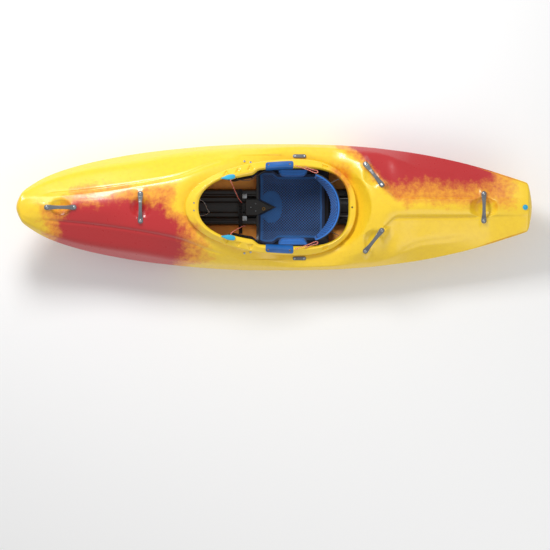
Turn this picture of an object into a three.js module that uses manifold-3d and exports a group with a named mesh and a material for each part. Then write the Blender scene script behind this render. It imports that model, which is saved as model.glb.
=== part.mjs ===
// A whitewater kayak: a moulded hull with its seat, backband, footrest, grab handles and outfitting.
// Millimetres. +X runs from the bow to the stern, +Y to starboard, +Z up. The origin is on the
// ground, under the middle of the boat. Tables of shares are shares of half the length, half the
// beam and the depth, in that order, unless a comment says otherwise.
import * as THREE from 'three';
import { mergeVertices } from 'three/addons/utils/BufferGeometryUtils.js';
import Module from 'manifold-3d';

const wasm = await Module();
wasm.setup();
const { clamp, degToRad, lerp, smoothstep } = THREE.MathUtils;

// Hull
const LENGTH = 2740;
const BEAM = 678;
const DEPTH = 457;
const WALL = 6;
const FIT = 0.3; // gap between pieces that touch
const OVERRUN = 30; // by which a cutter passes what it cuts
const RIB_STEP = 175; // longest stretch between two ribs of the hull's outer surface
const WELD = 0.001;

// Cockpit opening and its rim
const COCKPIT_OFFSET = 120; // the opening's widest line, aft of the boat's middle
const OPENING_FRONT = 525;
const OPENING_REAR = 272;
const SIDE_DECK = 82; // from the lip out to the seam, at the widest line
const LIP_FRONT = 72;
const LIP_REAR = 42;
const LIP_SIDE = 49;
const RIM_NOSE = 28; // depth of the rim's inner edge
const RIM_ROUND = 2;
const LIP_DEPTH = 14;
const GUTTER_DEPTH = 33; // from the lip down to the gutter round it
const GUTTER_RISE_FRONT = 20;
const GUTTER_RISE_REAR = 80;
const RIM_STEPS = 38;
const FLANGE_WIDTH = 21; // by which the thigh flanges reach into the opening
const FLANGE_FRONT = 395; // ahead of the widest line
const FLANGE_REAR = 200;
const FLANGE_RAMP = 45;

// Grab handles, on the deck
const HANDLE_LENGTH = 173;
const HANDLE_FOOT = 28;
const HANDLE_THICK = 7;
const HANDLE_ARCH = 22;
const HANDLE_BOSS = 2; // moulded pad under each foot
const BOLT_RADIUS = 3;
const BOLT_HEAD = 8;
const BOLT_HEAD_HEIGHT = 4.5;
const BOLT_LENGTH = 25;
const BOLT_SIDES = 8;
const DISH_RADIUS = 58;
const DISH_DEPTH = 22;

// Centre tray, on the hull's floor
const TRAY_WIDTH = 196;
const TRAY_WALL = 5;
const TRAY_RAIL = 38; // height of its two rails over the floor
const TRAY_CHANNEL = 24;

// Seat, which slides on the tray's rails
const SEAT_FRONT = -100;
const SEAT_REAR = 287;
const SEAT_MARGIN = 3; // between the seat's side and the opening's edge
const SEAT_SHELL = 4;
const SEAT_TRAVEL = 12;
const SEAT_LIP = 42; // upturn at the seat's back edge
const SEAT_LIP_LENGTH = 48;
const HORN_FRONT = -160;
const HORN_HEIGHT = 15;
const NOTCH_WIDTH = 90;
const NOTCH_TIP = -8;
const PAD_THICK = 12;
const HIP_PAD_THICK = 27;
const HIP_PAD_FRONT = 19;
const HIP_PAD_REAR = 172;

// Backband, hinged on a bracket behind the seat
const BAND_CENTRE = 152;
const BAND_LEAN = 26; // by which its upper edge lies further out
const BAND_HALF_ANGLE = 70;
const BAND_SHELL = 4;
const BAND_PAD = 13;
const BAND_PAD_GAP = 0.5;
const PIN_SETBACK = 3; // behind the band's rearmost point, at its lower edge
const PIN_RADIUS = 4;
const PIN_LENGTH = 84;
const STEM_WIDTH = 56;
const STEM_THICK = 10;
const EAR_THICK = 7;
const BRACKET_DEPTH = 34;
const PIN_CLEARANCE = 0.15;
const EAR_SHARE = .8; // roundness of the bracket's ears against its depth

// Footrest and its side rails
const RAIL_THICK = 8;
const RAIL_HEIGHT = 30;
const RAIL_WEB = 12;
const FOOTREST_THICK = 12;
const FOOTREST_PAD = 24;
const FOOTREST_FORWARD = 20; // travel towards the bow
const FOOTREST_CHAMFER_SHARE = .2;
const RUNNER_LENGTH = 60;
const RUNNER_LAP = 10;

// Pillars that stiffen the decks
const PILLAR_WIDTH = 66;
const PILLAR_WINDOW = 150;
const WINDOW_SHARE = .42; // height of a window against the pillar's

// Fittings at the cockpit
const THIGH_PLATE_FRONT = -49;
const THIGH_PLATE_REAR = 97;
const THIGH_PLATE_THICK = 5;
const THIGH_PLATE_DROP = 50;
const BRACE_FRONT = -268;
const BRACE_REAR = -96;
const BRACE_THICK = 6;
const BRACE_DROP = 62;
const HIP_PLATE_X = 130;
const HIP_PLATE_LENGTH = 71;
const HIP_PLATE_WIDTH = 19;
const HIP_PLATE_THICK = 4;
const HIP_PLATE_GAP = 7; // from the lip to the plate
const HIP_STUD_SPACING = 50;
const HIP_STUD_LENGTH = 30;
const SUPPORT_LENGTH = 64;
const SUPPORT_THICK = 5.5;
const SUPPORT_DROP = 50;
const TOGGLE_X = -249;
const TOGGLE_LENGTH = 78;
const TOGGLE_WIDTH = 28;
const TOGGLE_THICK = 9;
const PLUG_RADIUS = 14;
const PLUG_SHANK = 9;
const PLUG_LENGTH = 16;
const PLUG_FLANGE = 3.5;
const PLUG_GRIP = 5;
const PLUG_SIDES = 12;

// Cords
const CORD_STEPS = 22; // the most along one cord
const PULL_CORD_DIAMETER = 5;
const BAND_CORD_DIAMETER = 4.5;
const BUNGEE_DIAMETER = 3.5;
const LINE_DIAMETER = 3.5;
const STRAP_WIDTH = 19;
const STRAP_THICK = 1.6;
const STRAP_X = -186;
const STRAP_PORT = 165;
const BUCKLE_LENGTH = 50;
const BUCKLE_WIDTH = 26;
const BUCKLE_THICK = 9;

const halfLength = LENGTH / 2;
const halfBeam = BEAM / 2;
const SIDES = { starboard: 1, port: -1 };
const openingHalf = halfBeam - SIDE_DECK - LIP_SIDE;

// Places along the boat as shares of its half length, heights as shares of its depth, and half widths as
// shares of its half beam or of the opening's half width
const PLACE_SHARES = { trayFront: -.40876, trayRear: .32117, railFront: -.64234, railRear: -.33723,
  railFoot: .08978, footrest: -.58394, plug: .97299, pillarFront: -.86, pillarRear: .8 };
const HEIGHT_SHARES = { rail: .29103, footrestFoot: .30635, footrestTop: .62363, wing: .38293,
  bandFoot: .4267, band: .27133, pin: .32823 };
const WIDTH_SHARES = { rail: .53687, footrest: .44248, seatFloor: .625, band: .80288 };
const trayFront = PLACE_SHARES.trayFront * halfLength;
const trayRear = PLACE_SHARES.trayRear * halfLength;
const railFront = PLACE_SHARES.railFront * halfLength;
const railRear = PLACE_SHARES.railRear * halfLength;
const railFoot = PLACE_SHARES.railFoot * halfLength; // length of the foot that carries a rail
const railInset = WIDTH_SHARES.rail * halfBeam;
const railBottom = HEIGHT_SHARES.rail * DEPTH;
const footrestX = PLACE_SHARES.footrest * halfLength;
const footrestHalf = WIDTH_SHARES.footrest * halfBeam;
const footrestBottom = HEIGHT_SHARES.footrestFoot * DEPTH;
const footrestTop = HEIGHT_SHARES.footrestTop * DEPTH;
const wingRise = HEIGHT_SHARES.wing * DEPTH;
const bandBottom = HEIGHT_SHARES.bandFoot * DEPTH;
const bandRise = HEIGHT_SHARES.band * DEPTH;
const bandRadius = WIDTH_SHARES.band * openingHalf; // at its lower edge
const pinX = BAND_CENTRE + bandRadius + PIN_SETBACK;
const pinZ = HEIGHT_SHARES.pin * DEPTH;
const plugX = PLACE_SHARES.plug * halfLength;

// The hull's table of offsets: along the boat, then the keel edge, chine, ledge and seam, then the
// shoulder, valley, ridge and crown, each as [y share, z share].
const STATION_SHARES = [
  [-.982, [[.024, .849], [.106, .862], [.171, .886], [.209, .928]],
    [[.165, .972], [.1, .989], [.077, .993], [0, .998]]],
  [-.942, [[.041, .716], [.195, .733], [.307, .766], [.354, .812]],
    [[.289, .895], [.171, .954], [.133, .965], [0, .982]]],
  [-.876, [[.065, .562], [.295, .595], [.451, .652], [.504, .698]],
    [[.41, .823], [.206, .906], [.168, .926], [0, .956]]],
  [-.766, [[.1, .368], [.407, .411], [.59, .525], [.658, .567]],
    [[.546, .726], [.248, .849], [.201, .875], [0, .908]]],
  [-.657, [[.147, .243], [.516, .295], [.667, .42], [.764, .477]],
    [[.634, .674], [.301, .812], [.248, .845], [0, .884]]],
  [-.526, [[.236, .151], [.625, .201], [.737, .354], [.858, .435]],
    [[.717, .665], [.378, .818], [.319, .851], [0, .871]]],
  [-.38, [[.369, .077], [.714, .131], [.841, .319], [.926, .411]],
    [[.832, .6], [.496, .801], [.428, .849], [0, .875]]],
  [-.219, [[.501, .028], [.755, .088], [.926, .311], [.979, .396]],
    [[.903, .573], [.72, .713], [.631, .757], [0, .867]]],
  [-.073, [[.575, 0], [.767, .072], [.956, .302], [1, .396]],
    [[.932, .547], [.82, .635], [.737, .665], [0, .766]]],
  [.073, [[.575, 0], [.767, .07], [.959, .302], [1, .4]],
    [[.95, .516], [.876, .538], [.791, .547], [0, .56]]],
  [.219, [[.546, .014], [.749, .094], [.938, .311], [.988, .405]],
    [[.932, .512], [.873, .525], [.773, .538], [0, .591]]],
  [.328, [[.487, .057], [.708, .136], [.903, .333], [.962, .411]],
    [[.885, .525], [.779, .595], [.702, .648], [0, .731]]],
  [.387, [[.448, .091], [.684, .158], [.882, .341], [.941, .418]],
    [[.855, .543], [.525, .683], [.466, .726], [0, .768]]],
  [.438, [[.413, .127], [.655, .184], [.855, .35], [.917, .425]],
    [[.796, .573], [.271, .722], [.224, .751], [0, .777]]],
  [.474, [[.389, .153], [.631, .208], [.838, .361], [.9, .431]],
    [[.723, .613], [.165, .72], [.124, .753], [0, .775]]],
  [.569, [[.324, .228], [.578, .271], [.773, .398], [.844, .446]],
    [[.56, .626], [.156, .687], [.118, .726], [0, .748]]],
  [.715, [[.23, .35], [.472, .389], [.655, .446], [.72, .49]],
    [[.481, .591], [.153, .643], [.118, .681], [0, .696]]],
  [.825, [[.147, .444], [.36, .477], [.531, .512], [.599, .536]],
    [[.416, .578], [.147, .628], [.118, .659], [0, .676]]],
  [.905, [[.13, .514], [.319, .538], [.442, .562], [.493, .578]],
    [[.369, .606], [.147, .65], [.112, .67], [0, .683]]],
  [.964, [[.118, .571], [.271, .584], [.366, .595], [.413, .611]],
    [[.336, .637], [.147, .672], [.112, .685], [0, .694]]],
  [.982, [[.106, .584], [.248, .595], [.333, .604], [.381, .619]],
    [[.313, .643], [.142, .676], [.106, .687], [0, .694]]],
  [.991, [[.077, .591], [.177, .597], [.248, .606], [.283, .619]],
    [[.23, .639], [.106, .663], [.08, .67], [0, .674]]],
];
const BOW_TIP_SHARE = .941;
const STERN_TIP_SHARE = .619;
// How far each section corner is rounded, as a share of the edges beside it
const ROUND_SHARES = [.4, .32, .2, .08, .3, .2, .35, .5];
const OUTER_STEPS = [2, 2, 1, 1, 2, 2, 2, 2];
const INNER_STEPS = [1, 1, 1, 1, 1, 1, 1, 1];

// Height of the rim's crest and of its lip along the boat
const CREST_SHARES = [[-.296, .954], [-.257, .939], [-.21, .917], [-.164, .886], [-.117, .847],
  [-.07, .801], [0, .74], [.07, .674], [.126, .646], [.182, .635], [.245, .63], [.286, .626]];
const LIP_SHARES = [[-.348, .921], [-.283, .882], [-.15, .821], [-.038, .733], [.02, .646],
  [.126, .597], [.245, .586], [.282, .597], [.317, .621]];
// Places across the rim, from the opening's edge at 0 to the lip at 1
const RIM_SHARES = { shoulder: .2, crest: .35, slope: .9, curl: .93, wallOut: .62, wallIn: .45 };
const GUTTER_SHARES = { inner: .3, foot: 1.1, front: 1.9, rear: 2.8, wall: .14 };
const SCOOP_SHARES = [.11, .307]; // where the gutter deepens into the scoop behind the seat

// Smooth curves through a table, without overshoot
function curveThrough(places, values, startSlope, endSlope) {
  const last = places.length - 1;
  const rises = places.slice(1).map((place, i) => (values[i + 1] - values[i]) / (place - places[i]));
  const slopes = places.map((place, i) => {
    if (i === 0) return startSlope ?? rises[0];
    if (i === last) return endSlope ?? rises[last - 1];
    const [before, after] = [rises[i - 1], rises[i]];
    return before * after <= 0 ? 0 : 2 / (1 / before + 1 / after);
  });
  return (place) => {
    const at = clamp(place, places[0], places[last]);
    let i = 0;
    while (i < last - 1 && at > places[i + 1]) i += 1;
    const width = places[i + 1] - places[i];
    const t = (at - places[i]) / width;
    const back = 1 - t;
    return values[i] * back * back * (1 + 2 * t) + values[i + 1] * t * t * (3 - 2 * t)
      + width * t * back * (slopes[i] * back - slopes[i + 1] * t);
  };
}

function curveOfShares(table, placeScale, valueScale) {
  return curveThrough(table.map(([at]) => at * placeScale), table.map(([, to]) => to * valueScale));
}

function solveFor(target, low, high, measure) {
  const rising = measure(high) > measure(low);
  for (let i = 0; i < 40; i++) {
    const middle = (low + high) / 2;
    if ((measure(middle) < target) === rising) low = middle;
    else high = middle;
  }
  return (low + high) / 2;
}

// Closed meshes
function geometryFrom(points, triangles) {
  let volume = 0;
  const cross = new THREE.Vector3();
  for (const [a, b, c] of triangles) {
    volume += points[a].dot(cross.crossVectors(points[b], points[c]));
  }
  const facing = volume < 0 ? triangles.map(([a, b, c]) => [a, c, b]) : triangles;
  const geometry = new THREE.BufferGeometry().setFromPoints(points);
  geometry.setIndex(facing.flat());
  return geometry;
}

// A skin carried over a row of closed rings. The ends close on a tip, or on the ring's own middle.
function loft(rings, { closed = false, startTip, endTip } = {}) {
  const count = rings[0].length;
  const points = rings.flat();
  const triangles = [];
  const spans = closed ? rings.length : rings.length - 1;
  for (let i = 0; i < spans; i++) {
    const near = i * count;
    const far = ((i + 1) % rings.length) * count;
    for (let j = 0; j < count; j++) {
      const k = (j + 1) % count;
      triangles.push([near + j, near + k, far + k], [near + j, far + k, far + j]);
    }
  }
  if (!closed) {
    const middle = (ring) => ring.reduce((sum, point) => sum.add(point), new THREE.Vector3())
      .divideScalar(count);
    points.push(startTip ?? middle(rings[0]), endTip ?? middle(rings.at(-1)));
    const lastRing = (rings.length - 1) * count;
    for (let j = 0; j < count; j++) {
      const k = (j + 1) % count;
      triangles.push([k, j, points.length - 2], [lastRing + j, lastRing + k, points.length - 1]);
    }
  }
  return geometryFrom(points, triangles);
}

// A closed plate between two faces, each a function of two shares from 0 to 1
function plateBetween(top, bottom, columns, rows) {
  const points = [];
  for (const face of [top, bottom]) {
    for (let i = 0; i <= columns; i++) {
      for (let j = 0; j <= rows; j++) points.push(face(i / columns, j / rows));
    }
  }
  const size = (columns + 1) * (rows + 1);
  const at = (i, j) => i * (rows + 1) + j;
  const triangles = [];
  for (let i = 0; i < columns; i++) {
    for (let j = 0; j < rows; j++) {
      const [a, b, c, d] = [at(i, j), at(i + 1, j), at(i + 1, j + 1), at(i, j + 1)];
      triangles.push([a, b, c], [a, c, d], [size + a, size + c, size + b], [size + a, size + d, size + c]);
    }
  }
  const edge = [];
  for (let i = 0; i < columns; i++) edge.push(at(i, 0));
  for (let j = 0; j < rows; j++) edge.push(at(columns, j));
  for (let i = columns; i > 0; i--) edge.push(at(i, rows));
  for (let j = rows; j > 0; j--) edge.push(at(0, j));
  edge.forEach((a, i) => {
    const b = edge[(i + 1) % edge.length];
    triangles.push([a, size + a, size + b], [a, size + b, b]);
  });
  return geometryFrom(points, triangles);
}

function solid(geometry) {
  const bare = geometry.clone();
  for (const name of Object.keys(bare.attributes)) if (name !== 'position') bare.deleteAttribute(name);
  const merged = mergeVertices(bare, WELD);
  const body = new wasm.Manifold(new wasm.Mesh({
    numProp: 3,
    vertProperties: new Float32Array(merged.attributes.position.array),
    triVerts: new Uint32Array(merged.index.array),
  }));
  return body;
}

function geometryOf(body) {
  const { vertProperties, triVerts, numProp } = body.getMesh();
  const geometry = new THREE.BufferGeometry();
  const positions = new Float32Array((vertProperties.length / numProp) * 3);
  for (let i = 0; i < positions.length / 3; i++) {
    positions.set(vertProperties.subarray(i * numProp, i * numProp + 3), i * 3);
  }
  geometry.setAttribute('position', new THREE.BufferAttribute(positions, 3));
  geometry.setIndex(Array.from(triVerts));
  return geometry;
}

const xyz = (x, y, z) => new THREE.Vector3(x, y, z);

function boxSolid(from, to) {
  const size = to.clone().sub(from);
  const middle = from.clone().add(to).divideScalar(2);
  return solid(new THREE.BoxGeometry(size.x, size.y, size.z).translate(middle.x, middle.y, middle.z));
}

// A turned form about +Z, from [radius, height] points that start and end on the axis
function turned(profile, sides) {
  const points = profile.map(([radius, height]) => new THREE.Vector2(radius, height));
  return new THREE.LatheGeometry(points, sides).rotateX(Math.PI / 2);
}

function rod(from, to, radius, sides = BOLT_SIDES) {
  const along = to.clone().sub(from);
  const geometry = turned([[0, 0], [radius, 0], [radius, along.length()], [0, along.length()]], sides);
  const turn = new THREE.Quaternion().setFromUnitVectors(xyz(0, 0, 1), along.normalize());
  return geometry.applyQuaternion(turn).translate(from.x, from.y, from.z);
}

// A frame's matrix from its origin, its own X and its own Z
function frameOf(origin, along, up) {
  const across = up.clone().cross(along).normalize();
  const matrix = new THREE.Matrix4().makeBasis(along.clone().normalize(), across, up.clone().normalize());
  return matrix.setPosition(origin);
}

// A round cord along its points
function cordTube(points, diameter, sides = 8) {
  const section = new THREE.Shape();
  for (let i = 0; i < sides; i++) {
    const turn = (i / sides) * 2 * Math.PI;
    const [x, y] = [Math.cos(turn) * diameter / 2, Math.sin(turn) * diameter / 2];
    if (i) section.lineTo(x, y);
    else section.moveTo(x, y);
  }
  const extrudePath = new THREE.CatmullRomCurve3(points.map((point) => xyz(...point)), false, 'centripetal');
  const steps = Math.min(CORD_STEPS, Math.ceil(extrudePath.getLength() / (3 * diameter)));
  return new THREE.ExtrudeGeometry(section, { steps, extrudePath, curveSegments: 1 });
}

// The hull's form. A mark is a place along the seam line, measured round the bow and the stern,
// so that both ends come out round.
const hullForm = (() => {
  const tip = (side, share) => [side, Array(4).fill([0, share]), Array(4).fill([0, share])];
  const rows = [tip(-1, BOW_TIP_SHARE), ...STATION_SHARES, tip(1, STERN_TIP_SHARE)];
  const xs = rows.map(([share]) => share * halfLength);
  const corners = rows.map(([, low, high]) => [...low, ...high]
    .map(([y, z]) => [y * halfBeam, z * DEPTH]));
  const marks = [0];
  for (let i = 1; i < xs.length; i++) {
    const step = Math.hypot(xs[i] - xs[i - 1], corners[i][3][0] - corners[i - 1][3][0]);
    marks.push(marks[i - 1] + step);
  }
  const columns = corners[0].map((corner, k) => [0, 1]
    .map((part) => curveThrough(marks, corners.map((row) => row[k][part]))));
  return { marks, x: curveThrough(marks, xs, 0, 0), columns };
})();

function mitre([y0, z0], [y1, z1], [y2, z2], inset) {
  const normal = (y, z) => [-z / Math.hypot(y, z), y / Math.hypot(y, z)];
  const [ay, az] = normal(y1 - y0, z1 - z0);
  const [by, bz] = normal(y2 - y1, z2 - z1);
  const reach = inset / (1 + ay * by + az * bz);
  return [y1 + (ay + by) * reach, z1 + (az + bz) * reach];
}

// One half of a hull section, from the flat keel up and in to the deck's crown
function halfSection(mark, inset, steps) {
  const corners = hullForm.columns.map(([y, z]) => [y(mark), z(mark)]);
  const [ridge, crown] = corners.slice(-2);
  crown[1] += (crown[1] - ridge[1]) / 3;
  const path = [[-corners[0][0], corners[0][1]], ...corners, [-ridge[0], ridge[1]]];
  const moved = inset ? corners.map((corner, i) => mitre(path[i], corner, path[i + 2], inset)) : corners;
  const half = [];
  moved.forEach((corner, i) => {
    const before = moved[i - 1] ?? [0, corner[1]];
    const after = moved[i + 1] ?? [-moved[i - 1][0], moved[i - 1][1]];
    const share = ROUND_SHARES[i];
    const from = [0, 1].map((k) => lerp(corner[k], before[k], share));
    const to = [0, 1].map((k) => lerp(corner[k], after[k], share));
    const count = i === moved.length - 1 ? steps[i] / 2 : steps[i];
    for (let j = 0; j <= count; j++) {
      const t = j / steps[i];
      half.push([0, 1].map((k) => from[k] * (1 - t) ** 2 + 2 * corner[k] * t * (1 - t) + to[k] * t * t));
    }
  });
  return half;
}

function hullRing(mark, inset, steps) {
  const x = hullForm.x(mark);
  const half = halfSection(mark, inset, steps);
  const mirrored = half.slice(0, -1).reverse().map(([y, z]) => [-y, z]);
  return [...half, ...mirrored].map(([y, z]) => xyz(x, y, z));
}

// Marks no further apart than a step, with every station of the table among them
function marksEvery(step) {
  return hullForm.marks.slice(1).flatMap((mark, i) => {
    const from = hullForm.marks[i];
    const count = Math.ceil((mark - from) / step);
    return Array.from({ length: count }, (_, k) => lerp(from, mark, (k + 1) / count));
  }).slice(0, -1);
}

const ribs = marksEvery(RIB_STEP);
const innerRibs = ribs.filter((mark) => mark >= hullForm.marks[1] && mark <= hullForm.marks.at(-3));

const [bowTip, sternTip] = [[-1, BOW_TIP_SHARE], [1, STERN_TIP_SHARE]]
  .map(([side, share]) => xyz(side * halfLength, 0, share * DEPTH));

const hullInside = (inset) => solid(loft(innerRibs.map((mark) => hullRing(mark, inset, INNER_STEPS))));

const markAt = (x) => solveFor(x, 0, hullForm.marks.at(-1), hullForm.x);
const halfAt = (x, inset = 0) => halfSection(markAt(x), inset, OUTER_STEPS);

function deckHeight(x, y, inset = 0) {
  const half = halfAt(x, inset);
  for (let i = half.length - 1; i > 0; i--) {
    const [[lowY, lowZ], [highY, highZ]] = [half[i], half[i - 1]];
    if (highY < lowY) return lowZ;
    if (Math.abs(y) <= highY) return lerp(lowZ, highZ, (Math.abs(y) - lowY) / (highY - lowY));
  }
  return half[0][1];
}

const innerStations = innerRibs.map((mark) => [hullForm.x(mark), halfSection(mark, WALL, INNER_STEPS)[0][1]]);

// Height of the hull's flat floor inside, which runs straight from one inner rib to the next
function floorHeight(x) {
  const i = clamp(innerStations.findIndex(([at]) => at >= x), 1, innerStations.length - 1);
  const [[x0, z0], [x1, z1]] = [innerStations[i - 1], innerStations[i]];
  return lerp(z0, z1, (x - x0) / (x1 - x0));
}

function sideReach(x, z, inset = 0) {
  const half = halfAt(x, inset);
  const i = half.findIndex(([, height]) => height >= z);
  const [[y0, z0], [y1, z1]] = [half[i - 1], half[i]];
  return lerp(y0, y1, (z - z0) / (z1 - z0));
}

const PROBE = 4; // step of a surface's slope measurements

function deckNormal(x, y) {
  const alongX = xyz(2 * PROBE, 0, deckHeight(x + PROBE, y) - deckHeight(x - PROBE, y));
  const alongY = xyz(0, 2 * PROBE, deckHeight(x, y + PROBE) - deckHeight(x, y - PROBE));
  return alongX.cross(alongY).normalize();
}

// The cockpit's plan. An angle of 0 points aft and half a turn points forward.
const crestHeight = curveOfShares(CREST_SHARES, halfLength, DEPTH);
const lipHeight = curveOfShares(LIP_SHARES, halfLength, DEPTH);
const POWER_SHARES = { openingFront: [2.2, 2.4], openingRear: [2.8, 2.8],
  lipFront: [2, 2], lipRear: [2.3, 2.2] };

function ovalPoint(angle, front, rear, halfWidth, frontPowers, rearPowers) {
  const [cosine, sine] = [Math.cos(angle), Math.sin(angle)];
  const ahead = cosine < 0;
  const [powerX, powerY] = ahead ? frontPowers : rearPowers;
  return [
    COCKPIT_OFFSET + (ahead ? -front : rear) * Math.abs(cosine) ** (2 / powerX),
    halfWidth * Math.sign(sine) * Math.abs(sine) ** (2 / powerY),
  ];
}

function openingPoint(angle) {
  const [x, y] = ovalPoint(angle, OPENING_FRONT, OPENING_REAR, openingHalf,
    POWER_SHARES.openingFront, POWER_SHARES.openingRear);
  const [front, rear] = [COCKPIT_OFFSET - FLANGE_FRONT, COCKPIT_OFFSET - FLANGE_REAR];
  const flange = smoothstep(x, front, front + FLANGE_RAMP) - smoothstep(x, rear - FLANGE_RAMP, rear);
  return [x, y - Math.sign(y) * FLANGE_WIDTH * flange];
}

function lipPoint(angle) {
  return ovalPoint(angle, OPENING_FRONT + LIP_FRONT, OPENING_REAR + LIP_REAR, openingHalf + LIP_SIDE,
    POWER_SHARES.lipFront, POWER_SHARES.lipRear);
}

function rimPlace(angle, share) {
  const [inner, outer] = [openingPoint(angle), lipPoint(angle)];
  return [lerp(inner[0], outer[0], share), lerp(inner[1], outer[1], share)];
}

const rimAngleAt = (x, share) => solveFor(x, 0, Math.PI, (angle) => rimPlace(angle, share)[0]);

function rimLevels(angle) {
  const crest = crestHeight(openingPoint(angle)[0]);
  const lip = lipHeight(lipPoint(angle)[0]);
  const gutter = lip - GUTTER_DEPTH;
  const wall = [RIM_SHARES.wallIn, RIM_SHARES.wallOut].map((share) => rimPlace(angle, share));
  const deck = Math.min(...wall.map(([x, y]) => deckHeight(x, y)));
  return { crest, lip, gutter, foot: Math.min(deck, gutter) - 2 * WALL };
}

// Height of the rim's upper face at a share across it
function rimTop(angle, share) {
  const { crest, lip } = rimLevels(angle);
  const { shoulder, crest: crown, slope } = RIM_SHARES;
  if (share < shoulder) return lerp(crest - RIM_NOSE / 2, crest - RIM_ROUND, share / shoulder);
  if (share < crown) return lerp(crest - RIM_ROUND, crest, (share - shoulder) / (crown - shoulder));
  if (share < slope) return lerp(crest, lip + RIM_ROUND, (share - crown) / (slope - crown));
  return lerp(lip + RIM_ROUND, lip - 2 * RIM_ROUND, (share - slope) / (1 - slope));
}

const rimAngles = Array.from({ length: RIM_STEPS }, (_, i) => (i / RIM_STEPS) * 2 * Math.PI);

// A closed ring round the cockpit, from a function that gives its section as [share, height] points
function rimRing(section) {
  return loft(rimAngles.map((angle) => section(angle)
    .map(([share, height]) => xyz(...rimPlace(angle, share), height))), { closed: true });
}

function coamingSection(angle) {
  const { crest, lip, foot } = rimLevels(angle);
  const { shoulder, crest: crown, slope, curl, wallOut, wallIn } = RIM_SHARES;
  const under = lip - LIP_DEPTH;
  return [
    [0, crest - RIM_NOSE], [0, crest - RIM_NOSE / 2], [shoulder, crest - RIM_ROUND], [crown, crest],
    [slope, lip + RIM_ROUND], [1, lip - 2 * RIM_ROUND], [1, under + RIM_ROUND], [curl, under],
    [wallOut, under], [wallOut, foot], [wallIn, foot], [wallIn, crest - RIM_NOSE],
  ];
}

// The gutter cut round the rim. Grown by a wall, it shapes the hull's inside below it.
function gutterSection(angle, growth) {
  const { gutter } = rimLevels(angle);
  const x = lipPoint(angle)[0];
  const scoop = smoothstep(x, ...SCOOP_SHARES.map((share) => share * halfLength));
  const grown = GUTTER_SHARES.wall * growth / WALL;
  const outer = lerp(GUTTER_SHARES.front, GUTTER_SHARES.rear, scoop) + grown;
  const rise = lerp(GUTTER_RISE_FRONT, GUTTER_RISE_REAR, scoop);
  const floor = gutter - growth;
  const top = DEPTH + OVERRUN;
  return [[GUTTER_SHARES.inner - grown, floor], [GUTTER_SHARES.foot, floor + RIM_ROUND],
    [outer, floor + rise], [outer, top], [GUTTER_SHARES.inner - grown, top]];
}

function openingCutter() {
  return solid(loft([DEPTH / 3, DEPTH + OVERRUN].map((height) => rimAngles
    .map((angle) => xyz(...rimPlace(angle, RIM_SHARES.wallIn), height)))));
}

// Grab handles: each one's place on the deck and its turn from the boat's own line
const HANDLES = {
  bow: { share: [-.83, 0], turn: 0 },
  front_deck: { share: [-.521, 0], turn: 90 },
  rear_starboard: { share: [.385, .508], turn: -52 },
  rear_port: { share: [.385, -.516], turn: 52 },
  stern: { share: [.813, 0], turn: 90 },
};
// Along the handle, its half width, and its rise, as shares of half its length, foot and arch
const HANDLE_SHARES = [[1, .5, 0], [.95, .86, 0], [.84, 1, 0], [.7, .95, .04], [.5, .78, .55],
  [.28, .68, .92], [0, .64, 1]];
const BOLT_PLACE_SHARE = .84;
const CROWN_SHARE = .72; // height of the handle's edges against its middle

function handleFrame({ share, turn }) {
  const [x, y] = [share[0] * halfLength, share[1] * halfBeam];
  const heading = degToRad(turn);
  const reach = BOLT_PLACE_SHARE * HANDLE_LENGTH / 2;
  const ends = [-1, 1].map((end) => {
    const [footX, footY] = [x + end * reach * Math.cos(heading), y + end * reach * Math.sin(heading)];
    return xyz(footX, footY, deckHeight(footX, footY));
  });
  const along = ends[1].clone().sub(ends[0]).normalize();
  const up = along.clone().cross(xyz(-Math.sin(heading), Math.cos(heading), 0));
  const origin = ends[0].clone().add(ends[1]).divideScalar(2);
  const frame = frameOf(origin, along, up);
  const toFrame = frame.clone().invert();
  let high = 0;
  for (const end of [-1, 1]) {
    for (const [dx, dy] of [[-1, -1], [-1, 1], [1, -1], [1, 1]]) {
      const corner = xyz(end * reach + dx * HANDLE_FOOT / 2, dy * HANDLE_FOOT / 2, 0).applyMatrix4(frame);
      corner.z = deckHeight(corner.x, corner.y);
      high = Math.max(high, corner.applyMatrix4(toFrame).z);
    }
  }
  return frame.setPosition(origin.addScaledVector(up.normalize(), high + HANDLE_BOSS));
}

const handleFrames = Object.fromEntries(Object.entries(HANDLES)
  .map(([name, place]) => [name, handleFrame(place)]));
const boltReach = BOLT_PLACE_SHARE * HANDLE_LENGTH / 2;

function footBosses(frame, growth = 0) {
  return [-1, 1].map((end) => {
    const size = HANDLE_FOOT / 2 + 2 * HANDLE_BOSS + growth;
    const depth = 3 * WALL + growth;
    const boss = boxSolid(xyz(end * boltReach - size, -size, -depth), xyz(end * boltReach + size, size, 0));
    return boss.transform(frame.elements);
  });
}

// The hollow under a handle, from [radius, depth] shares
const DISH_SHARES = [[0, 1], [.45, .93], [.75, .6], [1, 0], [1.2, -.55], [1.2, -2]];
const DISH_WALL_SHARES = [[0, 1], [.45, .93], [1, 0], [1.2, -2]];

function dish(frame, growth, sides) {
  const profile = (growth ? DISH_WALL_SHARES : DISH_SHARES).map(([radius, depth]) => [
    radius * DISH_RADIUS + (radius ? growth : 0), -depth * DISH_DEPTH - growth]);
  profile.push([0, profile.at(-1)[1]]);
  return solid(turned(profile, sides).applyMatrix4(frame));
}

function boltGeometry(length, head = BOLT_HEAD, headHeight = BOLT_HEAD_HEIGHT) {
  return turned([[0, -length], [BOLT_RADIUS, -length], [BOLT_RADIUS, 0], [head, 0],
    [head, headHeight / 3], [0, headHeight]], BOLT_SIDES);
}

// A bolt hole about a frame's own Z axis, open at both ends of its run
function boltHole(frame, length, x = 0) {
  const radius = BOLT_RADIUS + FIT;
  return solid(rod(xyz(x, 0, -length - 2 * FIT), xyz(x, 0, OVERRUN), radius).applyMatrix4(frame));
}

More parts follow.
